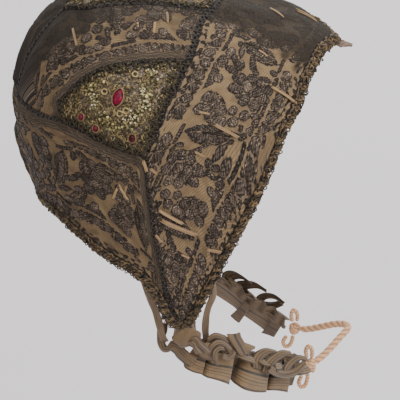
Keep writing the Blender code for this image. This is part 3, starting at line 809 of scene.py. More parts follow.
def border_distance(points, sides):
    """How far each point of a grid is from the grid's edges, for those named of start, end, low and high."""
    columns, rows = (np.linalg.norm(np.diff(points, axis=k), axis=2) for k in (0, 1))
    along = np.pad(np.cumsum(columns, axis=0), ((1, 0), (0, 0)))
    across = np.pad(np.cumsum(rows, axis=1), ((0, 0), (1, 0)))
    options = {"start": along, "end": along[-1:] - along, "low": across, "high": across[:, -1:] - across}
    return np.min([options[side] for side in sides], axis=0)


def grid_counts(patch):
    """How many steps of the grain go along and across a patch."""
    points = cap_point(patch.grid(60, 24))
    along, across = (np.linalg.norm(np.diff(points, axis=k), axis=2).sum(k).max() for k in (0, 1))
    return max(8, round(along / GRAIN)), max(6, round(across / GRAIN))


def panel(name, patch, finish, replaces, dress):
    """A lined panel of the cap. dress gives its height over the cloth, its fields and its places."""
    arcs = patch.grid(*grid_counts(patch))
    columns, rows = arcs.shape[:2]
    base, normal = cap_point(arcs), cap_normal(arcs)
    away = border_distance(base, ("start", "end", "low", "high"))
    height, fields, places = dress(arcs, away)
    fall = SEAM_FALL * (1 - smoothstep(0.0, SEAM_SPREAD, away))
    outer, inner = base + normal * (height - fall)[..., None], base - normal * CLOTH
    ring = edge_ring(columns, rows)
    under = columns * rows + np.arange(len(ring))
    lining = [
        np.unique(np.linspace(0, count - 1, most).round().astype(int))
        for count, most in zip((columns, rows), LINING_POINTS)
    ]
    inside = inner[np.ix_(*lining)].reshape(-1, 3)
    lining_faces = grid_faces(len(lining[0]), len(lining[1]), under[-1] + 1)[:, ::-1]
    faces = np.vstack([grid_faces(columns, rows), bands(under, ring), lining_faces])
    outward = np.cross(base[1:, :-1] - base[:-1, :-1], base[:-1, 1:] - base[:-1, :-1]) * normal[:-1, :-1]
    if outward.sum() < 0:
        faces = faces[:, ::-1]
    extra = len(ring) + len(inside)
    fields = {key: np.append(value, np.full(extra, FIELD_INSIDE[key])) for key, value in fields.items()}
    places = np.vstack([places.reshape(-1, 2), np.tile([0.0, GALLOON_WIDTH / 2], (extra, 1))])
    points = np.vstack([outer.reshape(-1, 3), inner.reshape(-1, 3)[ring], inside])
    return mesh_piece(name, points, faces, finish, replaces, fields, places)


def galloon_dress(lines, wear_of, darkening, seed, hem_width=0.0, hem_side="high"):
    """A galloon's relief and fields, from where its lines run. A hem shows as stripes along one side."""

    def dress(arcs, away):
        places = galloon_places(arcs, lines)
        from_centre, across = places[..., 0], places[..., 1]
        along = from_centre * -np.sign(arcs[..., 1] + 1e-9)
        spread = np.stack([along, across], -1)
        figure, tone, hatch = woven(spread, seed)
        wear = np.clip(wear_of(from_centre, across, spread), 0, 1)
        edge = border_distance(cap_point(arcs), ["low", "high"]) / MM
        guard = 0.7 - np.abs(edge - 1.5) + 0.35 * wobble(spread, 2.3, seed + 9)
        blots = np.where(edge < 5.0, 0.5 * wobble(spread, 3.3, seed + 12) + 0.15, -3.0)
        guard = np.maximum(guard, blots)
        tone = np.where(guard > figure, 0.35, tone)
        hatch = np.where(guard > figure, along * 1.2, hatch)
        figure = np.maximum(figure, guard)
        hem = border_distance(cap_point(arcs), [hem_side]) / MM + HEM_EDGE - hem_width
        if hem_width:
            hem = hem + 0.35 * wobble(spread, 5.0, seed + 14)
        figure = np.where(hem < HEM_EDGE, np.minimum(figure, -1.0), figure)
        raised = smoothstep(-0.1, 0.6, figure) * (1 - 0.75 * wear)
        slack = wobble(spread, 21.0, seed + 5) * 0.35 + wobble(spread, 8.0, seed + 6) * 0.12
        height = raised * RELIEF + slack * MM * smoothstep(0.0, 8 * MM, away)
        # Darker by the panel's set amount, plus painted shade within 1.3 mm of its edges, where the cloth
        # falls away into the seams.
        darkening_with_edge_shade = np.clip(darkening + 0.55 * (1 - smoothstep(0.0, 1.3 * MM, away)), 0, 1)
        fields = {"figure": figure, "tone": tone, "hatch": hatch, "wear": wear, "hem": hem, "darkening": darkening_with_edge_shade}
        return height, fields, spread

    return dress


def insert_dress(seed):
    """An insert's relief and fields."""

    def dress(arcs, away):
        base = cap_point(arcs) / MM
        rough = wobble(base, 2.4, seed) * 0.13 + wobble(base, 9.0, seed + 1) * 0.3
        border = 1 - smoothstep(2.2 * MM, 5.0 * MM, away)
        fields = {"tone": np.clip(0.5 + 0.3 * wobble(base, 3.0, seed + 2), 0, 1), "darkening": border}
        places = base @ np.array([[0.8, 0.0], [0.6, 0.3], [0.0, 1.2]])
        return (0.25 + rough) * MM * smoothstep(0.0, 2 * MM, away), fields, places

    return dress


def front_wear(s, t, spread):
    top = 1 - smoothstep(33.0, 43.0, np.abs(s) + 3.5 * wobble(spread, 9.0, 31) - 0.12 * (t - 24))
    rubbed = 0.35 * smoothstep(0.6, 1.5, wobble(spread, 12.0, 32))
    return np.maximum(top * 0.92, rubbed)


def crown_wear(s, t, spread):
    top = smoothstep(17.5, 23.5, t + 2.5 * wobble(spread, 8.0, 41))
    rubbed = 0.35 * smoothstep(0.6, 1.5, wobble(spread, 12.0, 42))
    return np.maximum(top * 0.95 * (1 - 0.6 * smoothstep(28.0, 48.0, np.abs(s))), rubbed)


def nape_wear(s, t, spread):
    return 0.45 * smoothstep(0.3, 1.5, wobble(spread, 10.0, 51))


def front_patch():
    seam = smooth_curve(BAND_SEAM)
    above, below = part_of(seam, seam[0], INSERT_CORNER), part_of(seam, INSERT_CORNER, seam[-1])
    edge = rim_parts(CLOTH_EDGE)[2]
    whole_seam = joined((mirrored(below)[::-1], 13), (both_sides(above), 28), (below, 13))
    start, end = (one_side([seam[-1], edge[-1]], side) for _, side in SIDES)
    return Patch(whole_seam, both_sides(edge), start, end)


def crown_patch(side):
    return Patch(
        joined((smooth_curve(SIDE_INSERT_TOP)[::-1], 20), (smooth_curve(SIDE_INSERT_BACK), 4)),
        joined((smooth_curve(TOP_INSERT_EDGE)[::-1], 14), (smooth_curve(CENTRE_BACK), 10)),
        part_of(smooth_curve(BAND_SEAM), SIDE_INSERT_TOP[-1], TOP_INSERT_EDGE[-1]),
        smooth_curve(NAPE_SEAM)[::-1],
        side,
    )


def parted_nape_edge():
    """The nape's cloth edge from the centre back, in two parts that meet below the nape band's end."""
    edge = rim_parts(CLOTH_EDGE)[3][::-1]
    nearest = np.argmin(np.linalg.norm(cap_point(edge) - cap_point(NAPE_BAND_END), axis=1))
    return edge[: nearest + 1], edge[nearest:]


def nape_patch(side):
    lower, _ = parted_nape_edge()
    seam = part_of(smooth_curve(BAND_SEAM), INSERT_CORNER, NAPE_BAND_END)
    nape_seam = smooth_curve(NAPE_SEAM)
    upper = joined((nape_seam, 9), (smooth_curve(SIDE_INSERT_LOW), 10), (seam, 9))
    return Patch(lower, upper, np.stack([lower[0], nape_seam[0]]), np.stack([lower[-1], seam[-1]]), side)


def gusset_patch(side):
    """The narrow cloth below the front band's lower seam, from the nape band's end to the ear tip."""
    _, lower = parted_nape_edge()
    upper = part_of(smooth_curve(BAND_SEAM), NAPE_BAND_END, BAND_SEAM[-1])
    return Patch(lower, upper, np.stack([lower[0], upper[0]]), np.stack([lower[-1], upper[-1]]), side)


def side_patch(side):
    return Patch(
        smooth_curve(SIDE_INSERT_LOW), smooth_curve(SIDE_INSERT_TOP), smooth_curve(SIDE_INSERT_BACK)[::-1],
        part_of(smooth_curve(BAND_SEAM), INSERT_CORNER, SIDE_INSERT_TOP[-1]), side,
    )


def top_patch():
    edge = smooth_curve(TOP_INSERT_EDGE)
    front = part_of(smooth_curve(BAND_SEAM), BAND_SEAM[0], TOP_INSERT_EDGE[-1])
    apex = edge[0] + np.array([[0.0, -0.5], [0.0, 0.5]])
    return Patch(mirrored(edge), edge, apex, both_sides(front))


# Stones, ribbons, tab, ruffle and cord, as in the solids

CENTRE_STONE = (-13.3, 62.9, 8.4, 4.4, 12.0)
SMALL_STONES = ((-34.1, 67.0, 3.0, 2.5, 0.0), (-27.5, 74.0, 3.0, 2.5, 0.0), (-9.2, 81.5, 3.4, 2.8, 0.0))
RIBBON_TAN, RIBBON_PALE, RIBBON_DARK = (84, 62, 36), (148, 118, 76), (30, 26, 20)
EAR_RIBBON_WIDTH = 3.6 * MM
EAR_RIBBON_DEPTH = 3.0 * MM
RIBBON_THICKNESS = 0.45 * MM
TAB_DEPTH = 3.3 * MM
TAB_WIDTH = 12.0 * MM
TAB_LENGTH = 19.6
REAR_RIBBON = (
    (-5.0, 113.2), (-2.1, 116.1), (2.0, 118.6), (5.8, 120.8), (10.2, 123.2), (13.9, 125.3), (17.0, 127.1),
    (20.6, 128.5), (23.6, 129.0),
)
FRONT_RIBBON = (
    (47.5, 102.4), (53.5, 102.4), (58.0, 103.6), (57.8, 106.8), (59.1, 109.1), (62.6, 110.6), (66.5, 111.0),
    (70.5, 111.3),
)
TAB = ((37.5, 115.4), (39.6, 117.7), (41.8, 119.4), (44.2, 121.3))
RUFFLE_LINE = (
    (17.0, -49.2, -163.4), (21.0, -51.0, -165.4), (26.8, -51.2, -168.3), (38.7, -47.0, -174.4),
    (52.3, -40.0, -182.4), (66.6, -31.0, -192.2), (83.2, -20.8, -201.4),
)
PLEAT_STEPS = (
    (0.066, 0.0), (0.153, 0.5), (0.173, 1.0), (0.358, 1.5), (0.427, 2.0), (0.684, 2.5), (0.706, 3.0),
    (0.877, 3.5), (0.93, 3.9),
)
PLEAT_HEIGHTS = (
    (0.06, 0.5), (0.11, 0.72), (0.17, 0.85), (0.36, 0.95), (0.55, 1.0), (0.7, 0.95), (0.88, 0.85),
    (0.95, 0.7),
)
PLEAT_DEPTHS = (0.8, 1.0, 1.15, 0.5)
RUFFLE_ABOVE = 10.0
RUFFLE_BELOW = 13.0
KNOT_PLACE = (86.4, -19.0, -200.5)
CORD_LINE = (
    (89.4, -17.2, -200.2), (94.0, -14.5, -198.8), (99.3, -11.0, -196.0), (104.7, -7.0, -192.9),
    (108.8, -3.4, -191.2), (110.2, 0.0, -190.8),
)
LOWER_LOOP = (
    (85.7, -19.4, -205.0), (85.4, -20.0, -208.2), (84.2, -20.6, -211.2), (82.0, -20.8, -211.6),
    (81.0, -20.8, -208.6), (82.6, -20.4, -205.4),
)
UPPER_LOOP = (
    (85.2, -19.0, -196.1), (84.6, -18.9, -192.6), (85.4, -19.0, -189.8), (87.0, -19.0, -190.4),
    (87.9, -18.9, -193.2), (87.6, -19.0, -196.1),
)


def cord_finish():
    shader = Shader("PeachCord", Roughness=0.7, Sheen_Weight=0.25)
    fibre = shader.noise(shader.body(), 2600.0)
    # The tone field lightens the cord: painted shade in the grooves between plies and on the knot's core.
    share = 0.75 * shader.field("tone") + 0.6 * fibre - 0.2
    return shader.finished(shader.mix(share, (120, 78, 48), (226, 178, 132)), fibre, 0.08 * MM)


def strands(line, radius, plies, pitch, sectors):
    """A twisted cord of several plies as one closed tube, with the tone of each point by how deep it lies:
    painted shade in the grooves between the plies.
    """
    along = lengths(line)
    angle = np.linspace(0, math.tau, sectors, endpoint=False)
    lobe = np.abs(np.cos((angle - math.tau * along[:, None] / pitch) * plies / 2)) ** 0.7
    taper = np.minimum(1.0, 0.55 + 0.45 * np.minimum(along, along[-1] - along) / (radius * 0.8))
    reach = radius * (0.7 + 0.3 * lobe) * taper[:, None]
    points = line[:, None] + circles(line, sectors) * reach[..., None]
    return points.reshape(-1, 3), ring_faces(len(line), sectors), lobe.ravel()


def right_line(rows, side, count):
    return spaced(smooth_curve(np.array(rows) * [1.0, -side, 1.0] * MM), count)


def tie(finish):
    """The knots at the ruffles' ends, with their loops, and the cord between them."""
    for word, side in SIDES:
        heap = Heap()
        centre = np.array(KNOT_PLACE) * [1.0, -side, 1.0] * MM
        turns = np.linspace(0, math.tau * 3.1, 90)
        lift = np.linspace(-2.3, 2.3, 90)
        girth = 1.75 * np.cos(lift / 3.4)
        coil = np.stack([girth * np.cos(turns), girth * np.sin(turns) * 0.9, lift + 0.4 * np.sin(turns)], -1)
        heap.add(*strands(centre + coil * MM, 1.15 * MM, 2, 3.4 * MM, 14))
        over = np.linspace(-1.2, 1.2, 40)
        wrap = np.stack([2.3 * np.cos(over) + 0.2, 2.6 * np.sin(over) * -side, 3.0 * np.sin(over)], -1)
        heap.add(*strands(centre + wrap * MM, 1.05 * MM, 2, 3.0 * MM, 14))
        core = np.linspace(-3.4, 3.4, 9)[:, None] * [0.0, 0.0, MM]
        # The knot's core has a low tone: painted shade between the coils.
        heap.tube(centre + core, np.interp(np.arange(9), [0, 4, 8], [0.7, 2.1, 0.7]), 12, 0.3)
        heap.piece(f"wrapped_knot_{word}", finish, "peach_cord", [f"tie_knot_{word}"])
        for rows, name in ((LOWER_LOOP, "lower"), (UPPER_LOOP, "upper")):
            heap = Heap()
            heap.add(*strands(right_line(rows, side, 60), 1.15 * MM, 2, 3.2 * MM, 16))
            heap.piece(f"{name}_bow_{word}", finish, "peach_cord", [f"{name}_loop_{word}"])
    half = np.array(CORD_LINE)
    line = right_line(np.vstack([half, half[-2::-1] * [1.0, -1.0, 1.0]]), -1.0, 180)
    heap = Heap()
    heap.add(*strands(line, 1.85 * MM, 3, 10.5 * MM, 24))
    made = heap.piece("twisted_cord", finish, "peach_cord", ["tie_cord"])
    float(lengths(line)[-1])


def ribbon_finish(name, stripes):
    """Ribbed silk ribbon. stripes lists places across it in millimetres with half widths and strengths."""
    shader = Shader(name, Roughness=0.62, Sheen_Weight=0.2)
    place = shader.places()
    along, across = shader.parts(place)
    rib = shader.wave(along, 0.62)
    fine = shader.noise(shader.scaled(place, (1.0, 3.0, 1.0)), 1.6, 3.0, 0.6)
    broad = shader.noise(place, 0.16)
    cloth = shader.mix(0.14 * rib + 0.7 * fine + 0.1, RIBBON_TAN, RIBBON_PALE)
    cloth = shader.mix(0.4 * shader.span(broad, 0.45, 0.7), cloth, RIBBON_TAN)
    for middle, half, strength in stripes:
        away = shader.maths("ABSOLUTE", across - middle)
        mask = shader.span(away, half * 1.25, half * 0.75, 0.0, strength)
        cloth = shader.mix(mask * shader.span(fine, 0.2, 0.5, 0.75, 1.0), cloth, RIBBON_DARK)
    # Painted shade: the tone field darkens the ribbon where it lies deep in folds and behind pleats.
    cloth = shader.mix(0.55 * shader.field("tone"), cloth, (58, 44, 33))
    return shader.finished(cloth, rib + 1.5 * fine, 0.1 * MM, 0.7)


RUFFLE_STRIPES = (
    (0.3, 0.32, 0.85), (1.75, 0.26, 0.75), (3.2, 0.32, 0.85), (5.2, 0.36, 0.75), (7.2, 0.26, 0.7),
    (15.2, 0.6, 0.95), (17.0, 0.2, 0.6), (18.6, 0.26, 0.75), (20.0, 0.2, 0.6), (22.4, 0.4, 0.8),
)
EAR_STRIPES = ((0.35, 0.2, 0.35), (1.3, 0.28, 0.55), (2.35, 0.3, 0.35), (3.3, 0.2, 0.3))


def hung_strip(rows, side, steps, depth):
    """A ribbon's or tab's middle line at a depth under the cap's face, with the ways outward and across."""
    curve = spaced(smooth_curve(one_side(rows, side)), steps)
    points, normal = cap_point(curve), cap_normal(curve)
    return points - normal * depth, normal, unit(np.cross(normal, np.gradient(points, axis=0)))


def ear_ribbon(name, rows, side, finish, node):
    """A narrow striped ribbon that hangs from inside the rim to the ruffle."""
    middle, normal, across = hung_strip(rows, side, 90, EAR_RIBBON_DEPTH)
    along = lengths(middle)[:, None]
    v = np.linspace(-1, 1, 9)
    cup = 0.35 * MM * (1 - v**2) * np.sin(along / along[-1] * 7.0)
    reach = v * EAR_RIBBON_WIDTH / 2 * (1 - 0.12 * np.sin(along / along[-1] * 9.0) ** 2)
    grid = middle[:, None] + across[:, None] * reach[..., None] + normal[:, None] * cup[..., None]
    sheet = (grid, along / MM, (v + 1) * EAR_RIBBON_WIDTH / 2 / MM, {"tone": 0.0})
    made = cloth_piece(name, finish, node, RIBBON_THICKNESS, [sheet])
    tuple(middle[0])


# The ruffle's free upper edge, which winds in S curves: along and above the stitching, in millimetres
CURLED_EDGE = (
    (0.5, 3.0), (2.9, 6.3), (5.0, 3.7), (6.6, 7.6), (8.6, 5.1), (8.3, 2.1), (10.0, 3.1), (13.0, 2.5),
    (12.6, 5.7), (14.5, 8.7), (19.3, 8.3), (22.5, 5.0), (21.0, 2.1), (23.6, 0.3), (26.2, 2.3), (23.8, 7.4),
    (19.5, 11.6), (22.9, 13.1), (27.1, 9.4), (32.4, 8.0), (31.8, 5.2), (28.9, 3.2), (33.5, 0.7),
    (39.3, -0.1), (38.4, 2.9), (40.4, 7.0), (45.2, 8.2), (48.8, 7.2), (45.9, 4.6), (43.1, 2.0),
    (46.4, -0.2), (51.3, 0.6), (52.4, 5.1), (55.8, 8.9), (60.4, 9.6), (63.8, 6.8), (62.3, 2.3),
    (58.3, -0.4), (54.2, -1.5), (58.6, -3.5), (65.2, -1.6), (66.9, 3.9), (69.5, 7.9), (74.2, 7.7),
    (77.0, 3.6), (75.1, -0.3), (70.8, -2.2), (79.0, -0.5), (82.5, 1.0),
)
# The top of the pleats at the back, in the same way
BACK_EDGE = (
    (6.0, 3.0), (8.0, 4.5), (11.7, 8.5), (18.4, 9.1), (22.4, 8.7), (23.7, 10.0), (30.5, 11.0), (35.2, 7.4),
    (40.8, 5.6), (48.7, 7.0), (56.3, 7.8), (65.2, 8.8), (73.9, 9.4), (79.0, 8.0), (82.5, 4.0),
)
# Short folds of ribbon: two edges, by places along, above and outward, and where they lie across its stripes
DRAWN_FOLDS = (
    (
        (
            (-14.0, 5.0, 2.0), (-13.0, 1.7, 2.4), (-11.2, -2.4, 2.8), (-9.3, -5.6, 3.4), (-6.0, -8.0, 3.8),
            (-3.2, -6.8, 4.2), (-1.5, -3.5, 4.6),
        ),
        (
            (-9.6, 6.5, 2.0), (-8.1, 2.9, 2.4), (-7.4, -1.1, 2.8), (-5.9, -3.4, 3.4), (-4.6, -3.8, 3.8),
            (-3.5, -2.5, 4.2), (-2.4, 0.5, 4.6),
        ),
        0.0, 6.0,
    ),
    (
        ((-5.1, -7.4, 4.0), (-3.4, -5.4, 4.4), (-0.4, -5.0, 4.8), (3.5, -6.6, 5.2), (7.6, -8.3, 5.4)),
        ((-4.3, -0.4, 4.0), (-2.0, 1.7, 4.4), (1.7, 1.6, 4.8), (4.5, -0.3, 5.2), (8.6, -2.2, 5.4)),
        14.0, 22.0,
    ),
    (
        ((-4.6, 3.3, 6.0), (-3.4, 7.9, 6.0), (-0.7, 11.6, 6.0), (2.9, 13.4, 6.0), (5.6, 11.4, 6.0)),
        ((-2.4, 1.6, 6.2), (2.0, 1.4, 6.8), (4.0, 3.6, 6.8), (5.4, 6.0, 6.6), (8.3, 5.1, 6.2)),
        8.0, 14.0,
    ),
    (
        ((3.0, 9.0, 7.0), (4.6, 7.3, 7.6), (7.4, 4.9, 7.6), (9.6, 2.0, 7.0)),
        ((4.4, 10.3, 7.0), (6.9, 8.9, 7.6), (8.8, 6.3, 7.6), (11.2, 3.6, 7.0)),
        0.2, 3.6,
    ),
    (
        ((3.2, 6.4, 7.4), (5.0, 3.8, 7.8), (7.4, 0.9, 7.4)),
        ((4.1, 8.0, 7.4), (6.6, 6.0, 7.8), (8.8, 2.8, 7.4)),
        0.2, 3.6,
    ),
    (
        ((7.8, 4.0, 4.5), (8.9, 6.0, 4.5), (10.9, 6.3, 4.5), (14.9, 4.7, 4.5)),
        ((9.2, -1.4, 4.5), (12.1, -2.4, 4.5), (15.2, -2.3, 4.5), (18.1, -1.2, 4.5)),
        8.0, 14.0,
    ),
    (
        ((9.7, 7.9, 1.5), (12.5, 10.5, 1.5), (16.8, 10.6, 1.5), (22.3, 9.3, 1.5)),
        ((10.6, 5.2, 2.5), (13.3, 7.8, 2.5), (17.7, 7.4, 2.5), (22.6, 6.0, 2.5)),
        0.1, 4.4,
    ),
    (
        (
            (10.8, 1.5, 5.0), (10.9, 6.0, 5.0), (12.9, 8.5, 5.0), (16.9, 8.5, 5.0), (21.9, 6.6, 5.0),
            (25.8, 3.4, 5.0),
        ),
        (
            (13.2, 1.2, 5.6), (13.5, 4.0, 5.6), (15.4, 5.9, 5.6), (18.3, 5.8, 5.6), (20.7, 4.5, 5.6),
            (23.2, 1.7, 5.6),
        ),
        0.1, 5.6,
    ),
    (
        ((16.7, -3.1, 6.6), (13.7, 0.2, 6.6), (12.6, 3.8, 6.6), (14.2, 6.2, 6.6), (17.0, 6.1, 6.6)),
        ((18.5, -2.7, 7.0), (16.1, 0.2, 7.0), (15.0, 2.8, 7.0), (15.9, 4.5, 7.0), (18.0, 4.8, 7.0)),
        0.1, 4.0,
    ),
    (
        ((18.5, 0.4, 6.6), (22.2, -0.1, 6.6), (25.1, 2.5, 6.6), (25.3, 4.6, 6.6)),
        ((18.7, 2.9, 6.2), (21.3, 2.2, 6.2), (22.9, 4.1, 6.2), (22.7, 5.7, 6.2)),
        0.1, 4.2,
    ),
    (
        ((42.1, -2.4, 3.6), (39.6, 2.1, 3.6), (41.0, 6.0, 3.6), (45.4, 8.3, 3.6), (53.0, 8.5, 3.6)),
        ((48.5, -2.1, 4.4), (46.2, 1.8, 4.4), (47.4, 4.7, 4.4), (50.0, 6.7, 4.4), (55.2, 7.6, 4.4)),
        0.1, 6.0,
    ),
    (
        ((47.7, -3.1, 5.0), (47.5, 2.3, 5.0), (51.0, 6.6, 5.0), (55.7, 9.5, 5.0), (63.0, 10.0, 5.0)),
        ((53.9, -3.3, 5.8), (53.7, 1.0, 5.8), (56.3, 4.6, 5.8), (59.6, 7.2, 5.8), (64.2, 7.8, 5.8)),
        0.1, 6.0,
    ),
    (
        ((61.5, -2.9, 6.6), (60.8, 2.4, 6.6), (63.3, 6.5, 6.6), (68.2, 9.1, 6.6), (75.4, 8.5, 6.6)),
        ((66.0, -2.2, 7.0), (65.3, 2.0, 7.0), (66.9, 4.8, 7.0), (70.6, 6.7, 7.0), (74.8, 6.0, 7.0)),
        0.1, 4.6,
    ),
    (
        ((48.0, -1.7, 8.2), (55.1, -3.2, 8.2), (63.7, -3.0, 8.2), (70.8, -0.8, 8.2), (75.3, 5.4, 8.2)),
        ((50.0, 1.5, 7.4), (56.2, 0.4, 7.4), (63.2, 0.9, 7.4), (68.2, 3.0, 7.4), (71.8, 6.5, 7.4)),
        0.1, 5.4,
    ),
    (
        ((19.0, 11.6, 2.6), (20.6, 9.6, 3.4), (24.1, 6.6, 4.2), (30.0, 2.6, 4.6)),
        ((26.1, 13.6, 2.6), (27.6, 11.4, 3.4), (30.6, 8.9, 4.2), (35.0, 4.4, 4.6)),
        12.0, 18.5,
    ),
    (
        ((27.4, 9.6, 3.4), (32.0, 9.1, 4.4), (37.2, 8.4, 4.6)),
        ((29.7, 4.5, 4.4), (33.4, 5.0, 5.0), (36.4, 6.9, 4.8)),
        8.5, 13.0,
    ),
)


def ruffle_frame(side):
    """A function that turns along, above and outward, in millimetres of the ruffle, into a place."""
    line = smooth_curve(np.array(RUFFLE_LINE) * MM)
    length = lengths(line)
    ahead = unit(np.gradient(line, axis=0))
    outward = unit(np.cross(ahead, [0.0, 0.0, 1.0]))
    up = np.cross(outward, ahead)

    def place(along, above, out):
        at = np.clip(along * MM, 0.0, length[-1])
        middle, tangent, away, rise = (read_line(x, length, at) for x in (line, ahead, outward, up))
        beyond = (along * MM - at)[..., None]
        spot = middle + tangent * beyond + away * (out * MM)[..., None] + rise * (above * MM)[..., None]
        return spot * [1.0, -side, 1.0]

    return place, length[-1] / MM


def pleats(place, length):
    """The pleated sheet below the stitching: its grid, places along and across, and fields."""
    step_share, step_turn = np.array(PLEAT_STEPS).T
    turn = np.linspace(0, step_turn[-1], 280)
    s = np.interp(turn, step_turn, step_share)
    phase = math.tau * turn[:, None]
    height = np.interp(s, *np.array(PLEAT_HEIGHTS).T)[:, None]
    depth = np.interp(turn, [0.25, 1.25, 2.25, 3.25], PLEAT_DEPTHS)[:, None]
    w = np.linspace(-0.1, 1.0, 15)
    edge = np.abs(w)
    square = np.tanh(2.2 * np.sin(phase)) / np.tanh(2.2)
    along = s[:, None] * length - (1.3 + 0.9 * edge) * height * np.sin(2 * phase) + 1.4 - 1.2 * edge
    out = (1.9 + 2.8 * edge) * square * depth + 2.3 * edge
    above = 0.6 * np.sin(phase * 1.5 + 3 * w) * edge - RUFFLE_BELOW * w * height
    grid = place(along, above, out)
    # Painted shade in the tone: darker on the pleats' set-back faces and toward the stitching, and on the
    # last pleats, which lie in the shadow of the loops above.
    shade = np.interp(turn, [2.5, 3.1, 3.9], [0.0, 0.45, 0.5])[:, None]
    tone = np.clip(0.62 - 0.62 * square - 0.7 * edge + shade, 0, 1)
    return grid, lengths(grid[:, 7])[:, None] / MM, RUFFLE_ABOVE + RUFFLE_BELOW * w, {"tone": tone}


def curled_rim(place):
    """The sheet from the stitching to the free upper edge, which winds in S curves."""
    e = np.linspace(0.0, 1.0, 10)
    rim = spaced(smooth_curve(CURLED_EDGE), 400)
    reach = lengths(rim)
    foot = [np.average(rim[:, 0], weights=np.exp(-(((reach - at) / 9.0) ** 2))) for at in reach]
    foot = np.array(foot)[:, None]
    stand = np.clip(9.0 - 1.2 * (rim[:, 1:] + 1.5), -2.5, 9.0)
    rise = rim[:, 1:] + (stand - 6.0) * math.tan(math.radians(CAMERA_HEIGHT))
    along = foot + (rim[:, :1] - foot) * smoothstep(0.0, 1.0, e**0.8) * 1.12
    above = rise * e**0.7 + 2.2 * np.sin(e * math.pi) * smoothstep(0.0, 8.0, stand)
    grid = place(along, above, 0.6 + (stand - 0.6) * e)
    # Painted shade in the tone: darkest down at the stitching, lighter toward the free edge.
    return grid, reach[:, None], RUFFLE_ABOVE * (1 - e), {"tone": np.clip(0.9 - 1.15 * e, 0, 1)}


def back_rim(place):
    """The tops of the pleats that stand behind the curled edge."""
    e = np.linspace(0.0, 1.0, 10)
    top = spaced(smooth_curve(BACK_EDGE), 130)
    reach = lengths(top)[:, None]
    grid = place(top[:, :1], (top[:, 1:] - 2.2) * e, -1.4 + np.sin(reach * 0.9) * (0.5 + 0.7 * e))
    # Painted shade in the tone: darker down toward the stitching.
    return grid, reach, RUFFLE_ABOVE * (1 - e), {"tone": np.clip(1.0 - 0.8 * e, 0, 1)}


def drawn_fold(place, near, far, first, last):
    """A short fold of ribbon between two drawn edges, over the stripes from first to last."""
    near, far = (spaced(smooth_curve(rows), 28)[:, None] for rows in (near, far))
    v = np.linspace(0, 1, 9)
    flat = near * (1 - v[:, None]) + far * v[:, None]
    grid = place(flat[..., 0], flat[..., 1], flat[..., 2] + 0.9 * np.sin(v * math.pi))
    # Painted shade in the tone: darker toward each fold's far edge, in the shadow of the fold.
    return grid, lengths(grid[:, 4])[:, None] / MM, first + (last - first) * v, {"tone": 0.34 + 0.5 * v**2}


def ruffle(word, side, finish):
    """Ribbon box-pleated on a thread: flat faces below the stitching, and curled edges and folds above it."""
    place, length = ruffle_frame(side)
    sheets = [pleats(place, length), curled_rim(place), back_rim(place)]
    sheets += [drawn_fold(place, *fold) for fold in DRAWN_FOLDS]
    made = cloth_piece(
        f"ruffle_{word}", finish, f"chin_ruffle_{word}", RIBBON_THICKNESS, sheets, side > 0,
    )
    area = sum(sheet_area(grid) for grid, *_ in sheets)


def silk_finish():
    shader = Shader("WornSilk", Roughness=0.6, Sheen_Weight=0.2)
    place = shader.places()
    rib = shader.wave(shader.parts(place)[0], 0.5)
    streak = shader.noise(shader.scaled(place, (3.0, 0.7, 1.0)), 0.9, 4.0, 0.65)
    cloth = shader.mix(0.1 * rib + 1.1 * streak - 0.1, (104, 78, 60), (178, 146, 118))
    # The tone field darkens the silk: painted shade in the tab's fold hollows, and a set darker colour on the
    # peak.
    cloth = shader.mix(0.7 * shader.field("tone"), cloth, (60, 42, 32))
    return shader.finished(cloth, rib + 2.0 * streak, 0.12 * MM, 0.8)


def tab(word, side, finish):
    """The folded silk tab under the ear tip, with soft lengthwise folds."""
    middle, normal, across = hung_strip(TAB, side, 40, TAB_DEPTH)
    v = np.linspace(-1, 1, 41)
    along = np.linspace(0, 1, 41)[:, None]
    folds = 0.5 * np.sin(v * 7.5 + 1.2 + 1.4 * along) + 0.35 * np.sin(v * 15.0 - 2.5 * along)
    reach = v * TAB_WIDTH / 2 * (1 - 0.16 * np.sin(along * math.pi))
    height = folds * 0.55 * MM
    grid = middle[:, None] + across[:, None] * reach[..., None] + normal[:, None] * height[..., None]
    # Painted shade: the tone is darker in the hollows of the folds.
    sheet = (grid, along * TAB_LENGTH, v * TAB_WIDTH / 2 / MM, {"tone": np.clip(0.35 - 0.6 * folds, 0, 1)})
    made = cloth_piece(f"silk_tab_{word}", finish, f"tie_tab_{word}", 0.6 * MM, [sheet])
    sheet_area(grid) / TAB_WIDTH


def peak(finish):
    """The worn end of the silk at the peak, with its ragged edge."""
    rows = spaced(smooth_curve(PEAK), 24)
    v = np.linspace(-1, 1, 17)
    draw = np.random.default_rng(7)
    grid = []
    for i, (ahead, up, width) in enumerate(rows):
        ripple = 0.45 * np.sin(v * 6 + i * 0.3) + 0.25 * np.sin(v * 13 - i * 0.5)
        ragged = 0.7 * draw.normal(0, 1, len(v)) * (i / 24) ** 4
        grid.append(cap_point(FRONT_RIM[0]) + np.stack([ahead + ragged, v * width / 2, up + ripple], -1) * MM)
    sheet = (np.array(grid), rows[:, :1], v * 4.0, {"tone": 0.6})
    cloth_piece("peak_silk", finish, "peak_tip", 0.7 * MM, [sheet])


